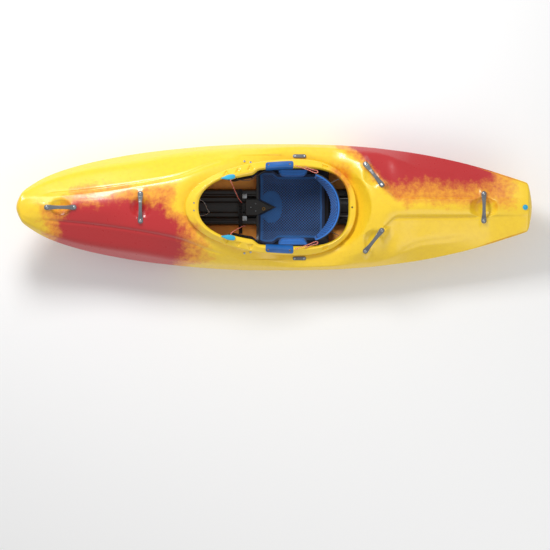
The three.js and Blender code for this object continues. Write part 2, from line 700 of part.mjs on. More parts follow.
// Bolts beside the cockpit, through the deck into the thigh braces
// Along a brace, as a share of its length, and out from the lip
const THIGH_BOLT_PLACES = { front: [.6023, 17.1], rear: [.7937, 4.9] };
const THIGH_BOLT_LENGTH = 19;
const thighBolts = Object.fromEntries(Object.entries(SIDES).flatMap(([side, sign]) => Object
  .entries(THIGH_BOLT_PLACES).map(([end, [share, gap]]) => {
    const x = lerp(BRACE_FRONT, BRACE_REAR, share);
    const y = sign * (lipPoint(rimAngleAt(x, 1))[1] + gap);
    const up = deckNormal(x, y);
    const origin = xyz(x, y, deckHeight(x, y)).addScaledVector(up, FIT);
    return [`thigh_bolt_${end}_${side}`, frameOf(origin, xyz(1, 0, 0).cross(up).cross(up).negate(), up)];
  })));

// Bolts through the hull's side into the footrest's rails
const RAIL_BOLT_SHARES = { front: [-.409, .33], rear: [-.352, .313] };
const RAIL_BOLT_LENGTH = 22;
const railBolts = Object.fromEntries(Object.entries(SIDES).flatMap(([side, sign]) => Object
  .entries(RAIL_BOLT_SHARES).map(([end, [shareX, shareZ]]) => {
    const [x, z] = [shareX * halfLength, shareZ * DEPTH];
    const y = sideReach(x, z);
    const slopeX = (sideReach(x + PROBE, z) - sideReach(x - PROBE, z)) / (2 * PROBE);
    const slopeZ = (sideReach(x, z + PROBE) - sideReach(x, z - PROBE)) / (2 * PROBE);
    const up = xyz(-slopeX, sign, -slopeZ).normalize();
    const origin = xyz(x, sign * y, z).addScaledVector(up, FIT);
    return [`rail_bolt_${end}_${side}`, frameOf(origin, xyz(0, 0, 1).cross(up), up)];
  })));

const hipPlateY = lipPoint(rimAngleAt(HIP_PLATE_X, 1))[1] + HIP_PLATE_GAP + HIP_PLATE_WIDTH / 2;
const hipPlateFrames = Object.fromEntries(Object.entries(SIDES).map(([side, sign]) => {
  const y = sign * hipPlateY;
  const up = deckNormal(HIP_PLATE_X, y);
  const origin = xyz(HIP_PLATE_X, y, deckHeight(HIP_PLATE_X, y)).addScaledVector(up, RIM_ROUND);
  return [side, frameOf(origin, xyz(1, 0, 0), up)];
}));

const plugFrame = frameOf(xyz(plugX, 0, deckHeight(plugX, 0) + FIT), xyz(1, 0, 0), xyz(0, 0, 1));

// The space inside the walls: the hull's form less what the gutter and the handles' hollows take
function hollowSpace(inset) {
  let space = hullInside(inset).subtract(solid(rimRing((angle) => gutterSection(angle, inset))));
  for (const frame of Object.values(handleFrames)) space = space.subtract(dish(frame, inset, 8));
  return space;
}

function hullShell() {
  const outer = solid(loft(ribs.map((mark) => hullRing(mark, 0, OUTER_STEPS)),
    { startTip: bowTip, endTip: sternTip }));
  let skin = outer.subtract(solid(rimRing((angle) => gutterSection(angle, 0))));
  for (const frame of Object.values(handleFrames)) skin = skin.subtract(dish(frame, 0, 12));
  let hull = skin.subtract(hollowSpace(WALL));
  for (const frame of Object.values(handleFrames)) {
    for (const boss of footBosses(frame)) hull = hull.add(boss);
  }
  hull = hull.subtract(openingCutter()).add(solid(rimRing(coamingSection)));
  const holes = [
    ...Object.values(handleFrames).flatMap((frame) => [-1, 1]
      .map((end) => boltHole(frame, BOLT_LENGTH, end * boltReach))),
    ...Object.values(thighBolts).map((frame) => boltHole(frame, THIGH_BOLT_LENGTH)),
    ...Object.values(railBolts).map((frame) => boltHole(frame, RAIL_BOLT_LENGTH)),
    ...Object.values(hipPlateFrames).flatMap((frame) => [-1, 1]
      .map((end) => boltHole(frame, HIP_STUD_LENGTH, end * HIP_STUD_SPACING / 2))),
    solid(turned([[0, -PLUG_LENGTH - OVERRUN / 2], [PLUG_SHANK + FIT, -PLUG_LENGTH - OVERRUN / 2],
      [PLUG_SHANK + FIT, OVERRUN], [0, OVERRUN]], PLUG_SIDES).applyMatrix4(plugFrame)),
  ];
  for (const hole of holes) hull = hull.subtract(hole);
  return hull;
}

const parts = new THREE.Group();

function addPart(name, geometry, colour, roughness, metalness = 0) {
  const material = new THREE.MeshStandardMaterial({ color: colour, roughness, metalness });
  const mesh = new THREE.Mesh(geometry, material);
  mesh.name = name;
  parts.add(mesh);
  return mesh;
}

const COLOURS = {
  yellow: 0xf9dd30, black: 0x2a2724, grey: 0x4a4d50, blue: 0x1f4e86, brightBlue: 0x1e66b0,
  lightBlue: 0x3cb8dc, steel: 0xa9adb0, red: 0xc93a3c, white: 0xe8e6e0, foam: 0x35332f,
};

const hull = hullShell();
addPart('hull_shell', geometryOf(hull), COLOURS.yellow, .35);

// Pieces inside the hull are trimmed to its inner faces, and pieces on it to its outer ones.
const innerSpace = hollowSpace(WALL + FIT);
const loweredHull = hull.translate(0, 0, -FIT);
const raisedHull = hull.translate(0, 0, FIT);
const bosses = Object.values(handleFrames).flatMap((frame) => footBosses(frame, FIT));
const fitInside = (body) => bosses.reduce((rest, boss) => rest.subtract(boss), body.intersect(innerSpace));
const mirrored = (body) => body.mirror([0, 1, 0]);
const onSide = (body, sign) => (sign > 0 ? body : mirrored(body));

function extruded(outline, depth) {
  const shape = new THREE.Shape(outline.map(([x, y]) => new THREE.Vector2(x, y)));
  return new THREE.ExtrudeGeometry(shape, { depth, bevelEnabled: false });
}

// An outline in X and Z, carried across the boat between two places on Y
function sideProfile(outline, fromY, toY) {
  return solid(extruded(outline, toY - fromY).rotateX(Math.PI / 2).translate(0, toY, 0));
}

// Points round an oval window or a rounded end
function arcPoints([x, z], radiusX, radiusZ, from, to, count) {
  return Array.from({ length: count + 1 }, (_, i) => {
    const turn = degToRad(lerp(from, to, i / count));
    return [x + radiusX * Math.cos(turn), z + radiusZ * Math.sin(turn)];
  });
}

// Grab handles: a strap that arches between two round feet
function handleSolid() {
  const rows = [...HANDLE_SHARES.map(([x, ...rest]) => [-x, ...rest]),
    ...HANDLE_SHARES.slice(0, -1).reverse()];
  const face = (lift) => (u, v) => {
    const [along, width, rise] = rows[Math.round(u * (rows.length - 1))];
    const across = 2 * v - 1;
    const crown = lerp(1, CROWN_SHARE, across * across);
    return xyz(along * HANDLE_LENGTH / 2, across * width * HANDLE_FOOT / 2,
      rise * HANDLE_ARCH + lift * HANDLE_THICK * crown + FIT);
  };
  let body = solid(plateBetween(face(1), face(0), rows.length - 1, 2));
  for (const end of [-1, 1]) {
    const seat = HANDLE_THICK + FIT;
    const recess = rod(xyz(end * boltReach, 0, seat), xyz(end * boltReach, 0, OVERRUN), BOLT_HEAD + FIT);
    const hole = boltHole(new THREE.Matrix4(), HANDLE_THICK, end * boltReach);
    body = body.subtract(hole).subtract(solid(recess));
  }
  return body;
}

const handle = handleSolid();
for (const [name, frame] of Object.entries(handleFrames)) {
  addPart(`grab_handle_${name}`, geometryOf(handle.transform(frame.elements)), COLOURS.grey, .4, .3);
  for (const [end, sign] of [['fore', -1], ['aft', 1]]) {
    const bolt = boltGeometry(BOLT_LENGTH).translate(sign * boltReach, 0, HANDLE_THICK + 2 * FIT);
    addPart(`handle_bolt_${name}_${end}`, bolt.applyMatrix4(frame), COLOURS.steel, .3, .9);
  }
}

// Drain plug, pressed into the stern deck
const plugProfile = [[0, -PLUG_LENGTH], [PLUG_SHANK, -PLUG_LENGTH], [PLUG_SHANK, 0], [PLUG_RADIUS, 0],
  [PLUG_RADIUS, PLUG_FLANGE], [PLUG_RADIUS / 2, PLUG_FLANGE], [PLUG_RADIUS / 3, PLUG_FLANGE + PLUG_GRIP],
  [0, PLUG_FLANGE + PLUG_GRIP]];
addPart('drain_plug', turned(plugProfile, PLUG_SIDES).applyMatrix4(plugFrame), COLOURS.lightBlue, .4);

// Centre tray: two rails and the channel between them, standing on the hull's floor
const seatStations = [HORN_FRONT - SEAT_TRAVEL, COCKPIT_OFFSET, SEAT_REAR + SEAT_TRAVEL];
const seatUnderside = Math.max(...seatStations.map(floorHeight)) + TRAY_RAIL + FIT;
const railTop = (x) => Math.max(seatUnderside - FIT, floorHeight(x) + TRAY_RAIL);
const channelTop = (x) => railTop(x) - TRAY_RAIL + TRAY_CHANNEL;
const TRAY_SHARES = { railOuter: .93, railInner: .62, channel: .52, step: .45 };

function traySection(x) {
  const half = TRAY_WIDTH / 2;
  const { railOuter, railInner, channel, step } = TRAY_SHARES;
  const [foot, rail, low] = [floorHeight(x) + FIT, railTop(x), channelTop(x)];
  const shift = TRAY_WALL * step;
  const upper = [[half, foot], [half, lerp(foot, rail, step)], [half * railOuter, rail],
    [half * railInner, rail], [half * channel, low]];
  const lower = [[half * channel + shift, low - TRAY_WALL], [half * railInner + shift, rail - TRAY_WALL],
    [half * railOuter - shift, rail - TRAY_WALL], [half - TRAY_WALL, lerp(foot, rail, step) - shift],
    [half - TRAY_WALL, foot]];
  const other = (line) => line.map(([y, z]) => [-y, z]).reverse();
  return [...upper, ...other(upper), ...other(lower), ...lower].map(([y, z]) => xyz(x, y, z));
}

const trayPlaces = [trayFront, ...innerStations.map(([x]) => x), HORN_FRONT - SEAT_TRAVEL,
  SEAT_REAR + SEAT_TRAVEL,
  trayRear].filter((x) => x >= trayFront && x <= trayRear).sort((a, b) => a - b);

// Height of the tray's rails between the places where they bend
function trayTop(x) {
  const next = Math.max(1, trayPlaces.findIndex((place) => place >= x));
  const [from, to] = [trayPlaces[next - 1], trayPlaces[next]];
  return lerp(railTop(from), railTop(to), (x - from) / (to - from));
}

// The tray's section is hollow underneath, so each end is closed as a flat outline
function outlineLoft(rings) {
  const skin = loft(rings);
  const count = rings[0].length;
  const points = rings.flat();
  const triangles = [];
  const index = skin.getIndex().array;
  for (let i = 0; i < index.length; i += 3) {
    const corners = [index[i], index[i + 1], index[i + 2]];
    if (Math.max(...corners) < points.length) triangles.push(corners);
  }
  const flat = rings[0].map((point) => new THREE.Vector2(point.y, point.z));
  const caps = THREE.ShapeUtils.triangulateShape(flat, []);
  const far = (rings.length - 1) * count;
  const [a, b] = triangles.find((corners) => corners[0] < count && corners[1] < count) ?? [0, 1];
  const forward = (b - a + count) % count === 1;
  const ordered = THREE.ShapeUtils.isClockWise(flat) ? caps.map(([p, q, r]) => [r, q, p]) : caps;
  for (const [p, q, r] of ordered) {
    triangles.push(forward ? [r, q, p] : [p, q, r]);
    triangles.push(forward ? [far + p, far + q, far + r] : [far + r, far + q, far + p]);
  }
  return geometryFrom(points, triangles);
}

const tray = solid(outlineLoft(trayPlaces.map(traySection))).subtract(raisedHull);
addPart('centre_tray', geometryOf(tray), COLOURS.black, .6);

// Pillars between the floor and the decks, with windows that lighten them
function pillar(front, rear, windows) {
  const half = PILLAR_WIDTH / 2;
  let body = fitInside(boxSolid(xyz(front, -half, 0), xyz(rear, half, DEPTH)));
  for (const x of windows) {
    const middle = (floorHeight(x) + deckHeight(x, 0, WALL)) / 2;
    const tall = (deckHeight(x, 0, WALL) - floorHeight(x)) * WINDOW_SHARE;
    const outline = arcPoints([x, middle], PILLAR_WINDOW / 2, tall / 2, 0, 337.5, 15);
    body = body.subtract(sideProfile(outline, -half - OVERRUN, half + OVERRUN));
  }
  for (const frame of Object.values(handleFrames)) {
    for (const end of [-1, 1]) body = body.subtract(boltHole(frame, BOLT_LENGTH, end * boltReach));
  }
  return body;
}

const footrestReach = FOOTREST_THICK + RUNNER_LENGTH / 2;
const pillarFront = [PLACE_SHARES.pillarFront * halfLength, footrestX - FOOTREST_FORWARD - footrestReach];
const pillarRear = [trayRear + OVERRUN, PLACE_SHARES.pillarRear * halfLength];
const WINDOW_SHARES = { front: [.5], rear: [.28, .66] };
for (const [end, [front, rear]] of Object.entries({ front: pillarFront, rear: pillarRear })) {
  const windows = WINDOW_SHARES[end].map((share) => lerp(front, rear, share));
  addPart(`${end}_pillar`, geometryOf(pillar(front, rear, windows)), COLOURS.foam, .95);
}

// Footrest: side rails bolted through the hull, and a plate that slides along them
function footrestRail() {
  const railTopZ = railBottom + RAIL_HEIGHT;
  const footFront = railRear - railFoot;
  const barTop = xyz(railRear, railInset + RAIL_THICK, railTopZ);
  const bar = boxSolid(xyz(railFront, railInset, railBottom), barTop);
  const foot = boxSolid(xyz(footFront, railInset, railBottom), xyz(railRear, halfBeam, railTopZ));
  const reach = sideReach(footFront, railBottom, WALL) - RAIL_WEB;
  const window = boxSolid(xyz(footFront + RAIL_WEB, railInset + RAIL_THICK, 0),
    xyz(railRear - RAIL_WEB, reach, DEPTH));
  return bar.add(foot).subtract(window);
}

const rail = footrestRail();
for (const [side, sign] of Object.entries(SIDES)) {
  let body = fitInside(onSide(rail, sign));
  for (const frame of Object.values(railBolts)) body = body.subtract(boltHole(frame, RAIL_BOLT_LENGTH));
  addPart(`footrest_rail_${side}`, geometryOf(body), COLOURS.black, .5);
}
for (const [name, frame] of Object.entries(railBolts)) {
  addPart(name, boltGeometry(RAIL_BOLT_LENGTH).applyMatrix4(frame), COLOURS.steel, .3, .9);
}

function footrestPlate() {
  const [half, low, high] = [footrestHalf, footrestBottom, footrestTop];
  const chamfer = (high - low) * FOOTREST_CHAMFER_SHARE;
  const outline = [[half, low], [half, high - chamfer], [half - chamfer, high], [chamfer - half, high],
    [-half, high - chamfer], [-half, low]];
  const plate = solid(extruded(outline, FOOTREST_THICK).rotateX(Math.PI / 2).rotateZ(Math.PI / 2)
    .translate(footrestX - FOOTREST_THICK / 2, 0, 0));
  const [front, rear] = [footrestX - RUNNER_LENGTH / 2, footrestX + RUNNER_LENGTH / 2];
  const top = railBottom + RAIL_HEIGHT + FIT;
  const lapEnd = xyz(rear, railInset + RAIL_THICK, top + RUNNER_LAP);
  const lap = boxSolid(xyz(front, half - RUNNER_LAP, top), lapEnd);
  const cheek = boxSolid(xyz(front, half - RUNNER_LAP, low), xyz(rear, railInset - FIT, top + RUNNER_LAP));
  const runner = lap.add(cheek);
  return plate.add(runner).add(mirrored(runner));
}

addPart('footrest_plate', geometryOf(footrestPlate()), COLOURS.black, .5);

// The foam on the footrest: crowned, and drawn in at its edges
const EDGE_SHARE = .5;
const crownAt = (u, v) => lerp(EDGE_SHARE, 1, Math.sqrt(Math.min(1, 16 * u * (1 - u) * 4 * v * (1 - v))));

function footrestPad() {
  const face = (lift) => (u, v) => xyz(
    footrestX + FOOTREST_THICK / 2 + FIT + lift * FOOTREST_PAD * crownAt(u, v),
    lerp(-1, 1, u) * (footrestHalf - RUNNER_LAP - FIT - lift * RUNNER_LAP / 2),
    lerp(footrestBottom, footrestTop, lerp(lift * EDGE_SHARE / 10, 1 - EDGE_SHARE / 2, v)),
  );
  return plateBetween(face(1), face(0), 8, 4);
}

addPart('footrest_pad', footrestPad(), COLOURS.foam, .95);

// Seat: a bucket whose sides rise as wings, with a horn in front that fills the pad's notch
const seatHalfWidth = openingHalf - SEAT_MARGIN;
const seatLength = SEAT_REAR - SEAT_FRONT;
const seatTop = seatUnderside + SEAT_SHELL;
const WING_SHARES = [[0, .22], [.18, .6], [.36, 1], [.69, 1], [.82, .57], [1, .48]];
const SEAT_FLOOR_SHARE = .5;
const wingHeight = curveThrough(WING_SHARES.map(([at]) => SEAT_FRONT + at * seatLength),
  WING_SHARES.map(([, height]) => height * wingRise));

// The seat's inner face at a place along the boat and a share across it, raised off the face by lift
function seatPoint(x, across, lift = 0) {
  const place = (atX, atV) => {
    const flat = WIDTH_SHARES.seatFloor * openingHalf;
    const share = Math.abs(atV);
    const wing = Math.max(0, (share - SEAT_FLOOR_SHARE) / (1 - SEAT_FLOOR_SHARE));
    const turn = wing * Math.PI / 2;
    const reach = seatHalfWidth - SEAT_SHELL - flat;
    const y = flat * Math.min(1, share / SEAT_FLOOR_SHARE) + reach * Math.sin(turn);
    const lip = clamp((atX - SEAT_REAR) / SEAT_LIP_LENGTH + 1, 0, 1) ** 2 * (1 - wing);
    const z = seatTop + wingHeight(atX) * (1 - Math.cos(turn)) + SEAT_LIP * lip;
    return xyz(atX, Math.sign(atV) * y, z);
  };
  const step = .01;
  const alongX = place(x + PROBE, across).sub(place(x - PROBE, across));
  const alongV = place(x, across + step).sub(place(x, across - step));
  const normal = alongX.cross(alongV).normalize();
  return place(x, across).addScaledVector(normal, lift);
}

// Rows lie closer at the rear lip, and columns on the wings, where the seat bends most.
const SEAT_ROW_SHARES = [0, .12, .24, .36, .5, .62, .75, .87, .92, .96, 1];
const SEAT_COLUMNS = 8; // on each side of the middle
const HORN_ROUND_SHARE = .08;

function seatAcross(share) {
  const flat = .25; // of the columns
  const size = Math.abs(share);
  const across = size < flat ? size / flat * SEAT_FLOOR_SHARE
    : lerp(SEAT_FLOOR_SHARE, 1, (size - flat) / (1 - flat));
  return Math.sign(share) * across;
}

function seatBase() {
  const face = (lift) => (u, v) => {
    const row = SEAT_ROW_SHARES[Math.round(u * (SEAT_ROW_SHARES.length - 1))];
    const point = seatPoint(lerp(SEAT_FRONT, SEAT_REAR, row), seatAcross(2 * v - 1), -lift * SEAT_SHELL);
    return lift ? point.setZ(Math.max(point.z, seatUnderside)) : point;
  };
  const bucket = solid(plateBetween(face(0), face(1), SEAT_ROW_SHARES.length - 1, 2 * SEAT_COLUMNS));
  const half = NOTCH_WIDTH / 2;
  const round = NOTCH_WIDTH * HORN_ROUND_SHARE;
  const outline = [[HORN_FRONT, -half], [SEAT_FRONT, -half],
    ...arcPoints([NOTCH_TIP - 2 * round, 0], round, round, -60, 60, 4),
    [SEAT_FRONT, half], [HORN_FRONT, half]];
  const horn = solid(extruded(outline, SEAT_SHELL + HORN_HEIGHT).translate(0, 0, seatUnderside));
  return bucket.add(horn);
}

addPart('seat_base', geometryOf(seatBase()), COLOURS.black, .5);

const PAD_SHARES = { front: .92, behind: .75, notch: .21, edge: .06 };
const PAD_GAP = 2.9; // over the bends of the seat

// How far a soft piece's underside stays from the seat's inner face
function padGap(x, across) {
  const bend = (Math.abs(across) - SEAT_FLOOR_SHARE) / (1 - SEAT_FLOOR_SHARE);
  const lip = 1 - (SEAT_REAR - SEAT_LIP_LENGTH - x) / PAD_THICK;
  return FIT + PAD_GAP * clamp(Math.max(8 * bend, lip), 0, 1);
}

function seatPad() {
  const { front, behind, notch } = PAD_SHARES;
  const point = (u, v, lift) => {
    const s = 2 * v - 1;
    const start = SEAT_FRONT + PAD_THICK;
    const depth = NOTCH_TIP + PAD_THICK / 2 - start;
    const from = start + depth * Math.max(0, 1 - Math.abs(s) / notch);
    const x = lerp(from, SEAT_REAR - 1.5 * PAD_THICK, u);
    const reach = lerp(front, behind, smoothstep(x, HIP_PAD_FRONT - 3 * PAD_THICK, HIP_PAD_FRONT));
    const across = s * reach;
    return seatPoint(x, across, padGap(x, across) + lift);
  };
  const drawn = (share) => lerp(PAD_SHARES.edge / 4, 1 - PAD_SHARES.edge / 4, share);
  const top = (u, v) => point(drawn(u), drawn(v), PAD_THICK * crownAt(u, v));
  const bottom = (u, v) => point(u, v, 0);
  return plateBetween(top, bottom, 11, 14);
}

addPart('seat_pad', seatPad(), COLOURS.blue, .85);

const HIP_SHARES = { low: .8, high: .96 };
const HIP_PAD_GAP = 0.9;

function hipPad() {
  const point = (u, v, lift) => seatPoint(lerp(HIP_PAD_FRONT, HIP_PAD_REAR, u),
    lerp(HIP_SHARES.low, HIP_SHARES.high, v), FIT + HIP_PAD_GAP + lift);
  const drawn = (share) => lerp(PAD_SHARES.edge, 1 - PAD_SHARES.edge, share);
  const top = (u, v) => point(drawn(u), drawn(v), HIP_PAD_THICK * crownAt(u, v));
  return solid(plateBetween(top, (u, v) => point(u, v, 0), 8, 4));
}

for (const [side, sign] of Object.entries(SIDES)) {
  addPart(`hip_pad_${side}`, geometryOf(onSide(hipPad(), sign)), COLOURS.brightBlue, .8);
}

// Brackets under the side decks, which the seat's wings slide along
function hipSupport() {
  const { foot } = rimLevels(rimAngleAt(HIP_PLATE_X, RIM_SHARES.wallOut));
  const [front, rear] = [HIP_PLATE_X - SUPPORT_LENGTH / 2, HIP_PLATE_X + SUPPORT_LENGTH / 2];
  const base = foot - FIT - SUPPORT_THICK;
  const inner = seatHalfWidth + FIT;
  const flange = boxSolid(xyz(front, inner, base), xyz(rear, hipPlateY + HIP_PLATE_WIDTH, DEPTH));
  const leg = boxSolid(xyz(front, inner, base - SUPPORT_DROP), xyz(rear, inner + SUPPORT_THICK, base + WALL));
  return flange.add(leg);
}

const support = hipSupport();
for (const [side, sign] of Object.entries(SIDES)) {
  const frame = hipPlateFrames[side];
  let body = fitInside(onSide(support, sign)).subtract(loweredHull)
    .subtract(hull.translate(0, -sign * FIT, 0));
  const ends = [-1, 1].map((end) => end * HIP_STUD_SPACING / 2);
  for (const end of ends) body = body.subtract(boltHole(frame, HIP_STUD_LENGTH, end));
  addPart(`hip_support_${side}`, geometryOf(body), COLOURS.black, .5);

  const half = HIP_PLATE_WIDTH / 2;
  const straight = HIP_PLATE_LENGTH / 2 - half;
  const pill = [...arcPoints([straight, 0], half, half, -90, 90, 6),
    ...arcPoints([-straight, 0], half, half, 90, 270, 6)];
  let plate = solid(extruded(pill, 2 * HIP_PLATE_THICK).translate(0, 0, -HIP_PLATE_THICK))
    .transform(frame.elements).subtract(raisedHull);
  for (const end of ends) {
    const clear = rod(xyz(end, 0, -OVERRUN), xyz(end, 0, FIT), BOLT_RADIUS + 2 * FIT);
    const stud = rod(xyz(end, 0, -HIP_STUD_LENGTH), xyz(end, 0, HIP_PLATE_THICK + RIM_ROUND), BOLT_RADIUS);
    plate = plate.subtract(solid(clear.applyMatrix4(frame))).add(solid(stud.applyMatrix4(frame)));
  }
  addPart(`hip_plate_${side}`, geometryOf(plate), COLOURS.grey, .4, .2);
}

// Thigh plates, folded over the rim
function rimSectionAt(angle) {
  const step = (angle / (2 * Math.PI)) * RIM_STEPS;
  const [near, far] = [Math.floor(step), Math.floor(step) + 1].map((k) => {
    const at = rimAngles[k % RIM_STEPS];
    return coamingSection(at).map(([share, height]) => xyz(...rimPlace(at, share), height));
  });
  return near.map((point, i) => point.clone().lerp(far[i], step % 1));
}

const RIM_GAP = 0.8; // over the rim's facets
const THIGH_PLATE_SHARE = .2; // how far its outer edge stays from the rim's slope, towards the crest

function thighPlate() {
  const ends = [THIGH_PLATE_FRONT, THIGH_PLATE_REAR].map((x) => rimAngleAt(x, RIM_SHARES.crest));
  const inside = rimAngles.filter((angle) => angle > ends[1] && angle < ends[0]);
  const angles = [ends[0], ...inside.reverse(), ends[1]];
  const face = (lift) => (u, v) => {
    const section = rimSectionAt(angles[Math.round(u * (angles.length - 1))]);
    const edge = section[4].clone().lerp(section[3], THIGH_PLATE_SHARE);
    const drop = section[1].clone().sub(xyz(0, 0, THIGH_PLATE_DROP));
    const line = [edge, section[3], section[2], section[1], drop];
    const outward = [[0, 1], [0, 1], [-.5, .9], [-1, .4], [-1, 0]];
    const row = Math.round(v * (line.length - 1));
    const [y, z] = outward[row];
    return line[row].add(xyz(0, y, z).multiplyScalar(RIM_GAP + lift * THIGH_PLATE_THICK));
  };
  return solid(plateBetween(face(1), face(0), angles.length - 1, 4));
}

for (const [side, sign] of Object.entries(SIDES)) {
  const body = onSide(thighPlate(), sign).subtract(raisedHull).subtract(hull.translate(0, sign * FIT, 0));
  addPart(`thigh_plate_${side}`, geometryOf(body), COLOURS.brightBlue, .45);
}

// Thigh braces: hooks under the rim's flanges, held by bolts through the deck
const BRACE_SHARES = [1.38, .8, .4, .1, -.12, -.24];
// Way to a brace's underside at each of those places, outwards and down
const BRACE_TURNS = [[0, 1], [0, 1], [0, 1], [0, 1], [1, 1], [1, 0]];

function thighBrace() {
  const face = (lift) => (u, v) => {
    const x = lerp(BRACE_FRONT, BRACE_REAR, u);
    const angle = rimAngleAt(x, RIM_SHARES.crest);
    const row = Math.round(v * (BRACE_SHARES.length - 1));
    const [placeX, y] = rimPlace(angle, BRACE_SHARES[row]);
    const { crest, foot } = rimLevels(angle);
    const under = deckHeight(placeX, y, WALL);
    const low = foot - BRACE_THICK / 2;
    const heights = [under, Math.min(under, low), low, crest - RIM_NOSE - 2 * BRACE_THICK,
      crest - RIM_NOSE - BRACE_THICK, crest - BRACE_DROP];
    const [outward, down] = BRACE_TURNS[row];
    const thick = BRACE_THICK * lift;
    return xyz(placeX, y + outward * thick, heights[row] - FIT - down * thick);
  };
  return solid(plateBetween(face(0), face(1), 5, 5));
}

for (const [side, sign] of Object.entries(SIDES)) {
  let body = onSide(thighBrace(), sign).subtract(loweredHull);
  for (const frame of Object.values(thighBolts)) body = body.subtract(boltHole(frame, THIGH_BOLT_LENGTH));
  addPart(`thigh_brace_${side}`, geometryOf(body), COLOURS.black, .7);
}
for (const [name, frame] of Object.entries(thighBolts)) {
  addPart(name, boltGeometry(THIGH_BOLT_LENGTH, 2 * BOLT_RADIUS).applyMatrix4(frame), COLOURS.steel, .3, .9);
}

// Toggles on the flanges, pointed towards the bow
const TOGGLE_SHARES = [[0, .14], [.22, .5], [.42, .86], [.6, 1], [.85, .92], [1, .7]];
const TOGGLE_PLACE_SHARE = .28;

function toggle() {
  const place = (x) => {
    const angle = rimAngleAt(x, TOGGLE_PLACE_SHARE);
    return xyz(...rimPlace(angle, TOGGLE_PLACE_SHARE), rimTop(angle, RIM_SHARES.crest));
  };
  const half = TOGGLE_LENGTH / 2;
  const [fore, aft] = [place(TOGGLE_X - half), place(TOGGLE_X + half)];
  const along = aft.clone().sub(fore).normalize();
  const up = along.clone().cross(xyz(0, 1, 0)).normalize();
  const frame = frameOf(place(TOGGLE_X), along, up);
  const face = (lift) => (u, v) => {
    const [at, width] = TOGGLE_SHARES[Math.round(u * (TOGGLE_SHARES.length - 1))];
    const across = 2 * v - 1;
    const crown = lerp(1, CROWN_SHARE, across * across) * lerp(EDGE_SHARE, 1, width);
    return xyz((at - .5) * TOGGLE_LENGTH, across * width * TOGGLE_WIDTH / 2,
      lerp(-RIM_ROUND, TOGGLE_THICK * crown, lift));
  };
  return solid(plateBetween(face(1), face(0), TOGGLE_SHARES.length - 1, 4).applyMatrix4(frame));
}

for (const [side, sign] of Object.entries(SIDES)) {
  addPart(`toggle_${side}`, geometryOf(onSide(toggle(), sign).subtract(raisedHull)), COLOURS.lightBlue, .4);
}

// Backband: a padded band round the paddler's back, on a stem that tips on a pin
const BAND_TOP_DROP = 25;
const BAND_BOTTOM_RISE = 22;

function bandPoint(across, height, lift) {
  const turn = degToRad(across * BAND_HALF_ANGLE);
  const low = bandBottom + BAND_BOTTOM_RISE * across ** 2;
  const high = bandBottom + bandRise - BAND_TOP_DROP * across ** 4;
  const z = lerp(low, high, height);
  const radius = bandRadius + BAND_LEAN * (z - bandBottom) / bandRise + lift;
  return xyz(BAND_CENTRE + radius * Math.cos(turn), radius * Math.sin(turn), z);
}

const boreTool = (radius, half) => solid(rod(xyz(pinX, -half, pinZ), xyz(pinX, half, pinZ), radius, 16));

function backbandShell() {
  const face = (lift) => (u, v) => bandPoint(2 * u - 1, v, lift * BAND_SHELL);
  const band = solid(plateBetween(face(1), face(0), 12, 4));
  const half = STEM_WIDTH / 2;
  const front = BAND_CENTRE + bandRadius + BAND_SHELL / 2;
  const stem = boxSolid(xyz(front, -half, pinZ), xyz(front + STEM_THICK, half, bandBottom + STEM_THICK));
  const barrel = boreTool(2 * PIN_RADIUS + 1, half);
  return band.add(stem).add(barrel).subtract(boreTool(PIN_RADIUS + PIN_CLEARANCE, half + OVERRUN));
}

addPart('backband_shell', geometryOf(backbandShell()), COLOURS.black, .5);

function backbandPad() {
  const drawn = (share) => lerp(PAD_SHARES.edge / 2, 1 - PAD_SHARES.edge / 2, share);
  const top = (u, v) => bandPoint(2 * drawn(u) - 1, drawn(v), -FIT - BAND_PAD_GAP - BAND_PAD * crownAt(u, v));
  const bottom = (u, v) => bandPoint(2 * u - 1, v, -FIT - BAND_PAD_GAP);
  return plateBetween(top, bottom, 12, 6);
}

addPart('backband_pad', backbandPad(), COLOURS.brightBlue, .85);

function backbandBracket() {
  const [front, rear] = [pinX - BRACKET_DEPTH / 2, pinX + BRACKET_DEPTH / 2];
  const base = Math.max(trayTop(front), trayTop(rear)) + FIT;
  const inner = STEM_WIDTH / 2 + FIT;
  const round = BRACKET_DEPTH / 2;
  const bend = round * EAR_SHARE;
  const outline = [[front, base], [rear, base], ...arcPoints([pinX, pinZ], bend, bend, 0, 180, 8)];
  const ear = sideProfile(outline, inner, inner + EAR_THICK);
  const half = TRAY_WIDTH / 2 * TRAY_SHARES.railOuter;
  const foot = boxSolid(xyz(front, -half, base), xyz(rear, half, base + EAR_THICK));
  return foot.add(ear).add(mirrored(ear)).subtract(boreTool(PIN_RADIUS + PIN_CLEARANCE, PIN_LENGTH));
}

addPart('backband_bracket', geometryOf(backbandBracket()), COLOURS.black, .5);
addPart('backband_hinge_pin', geometryOf(boreTool(PIN_RADIUS, PIN_LENGTH / 2)), COLOURS.steel, .3, .9);

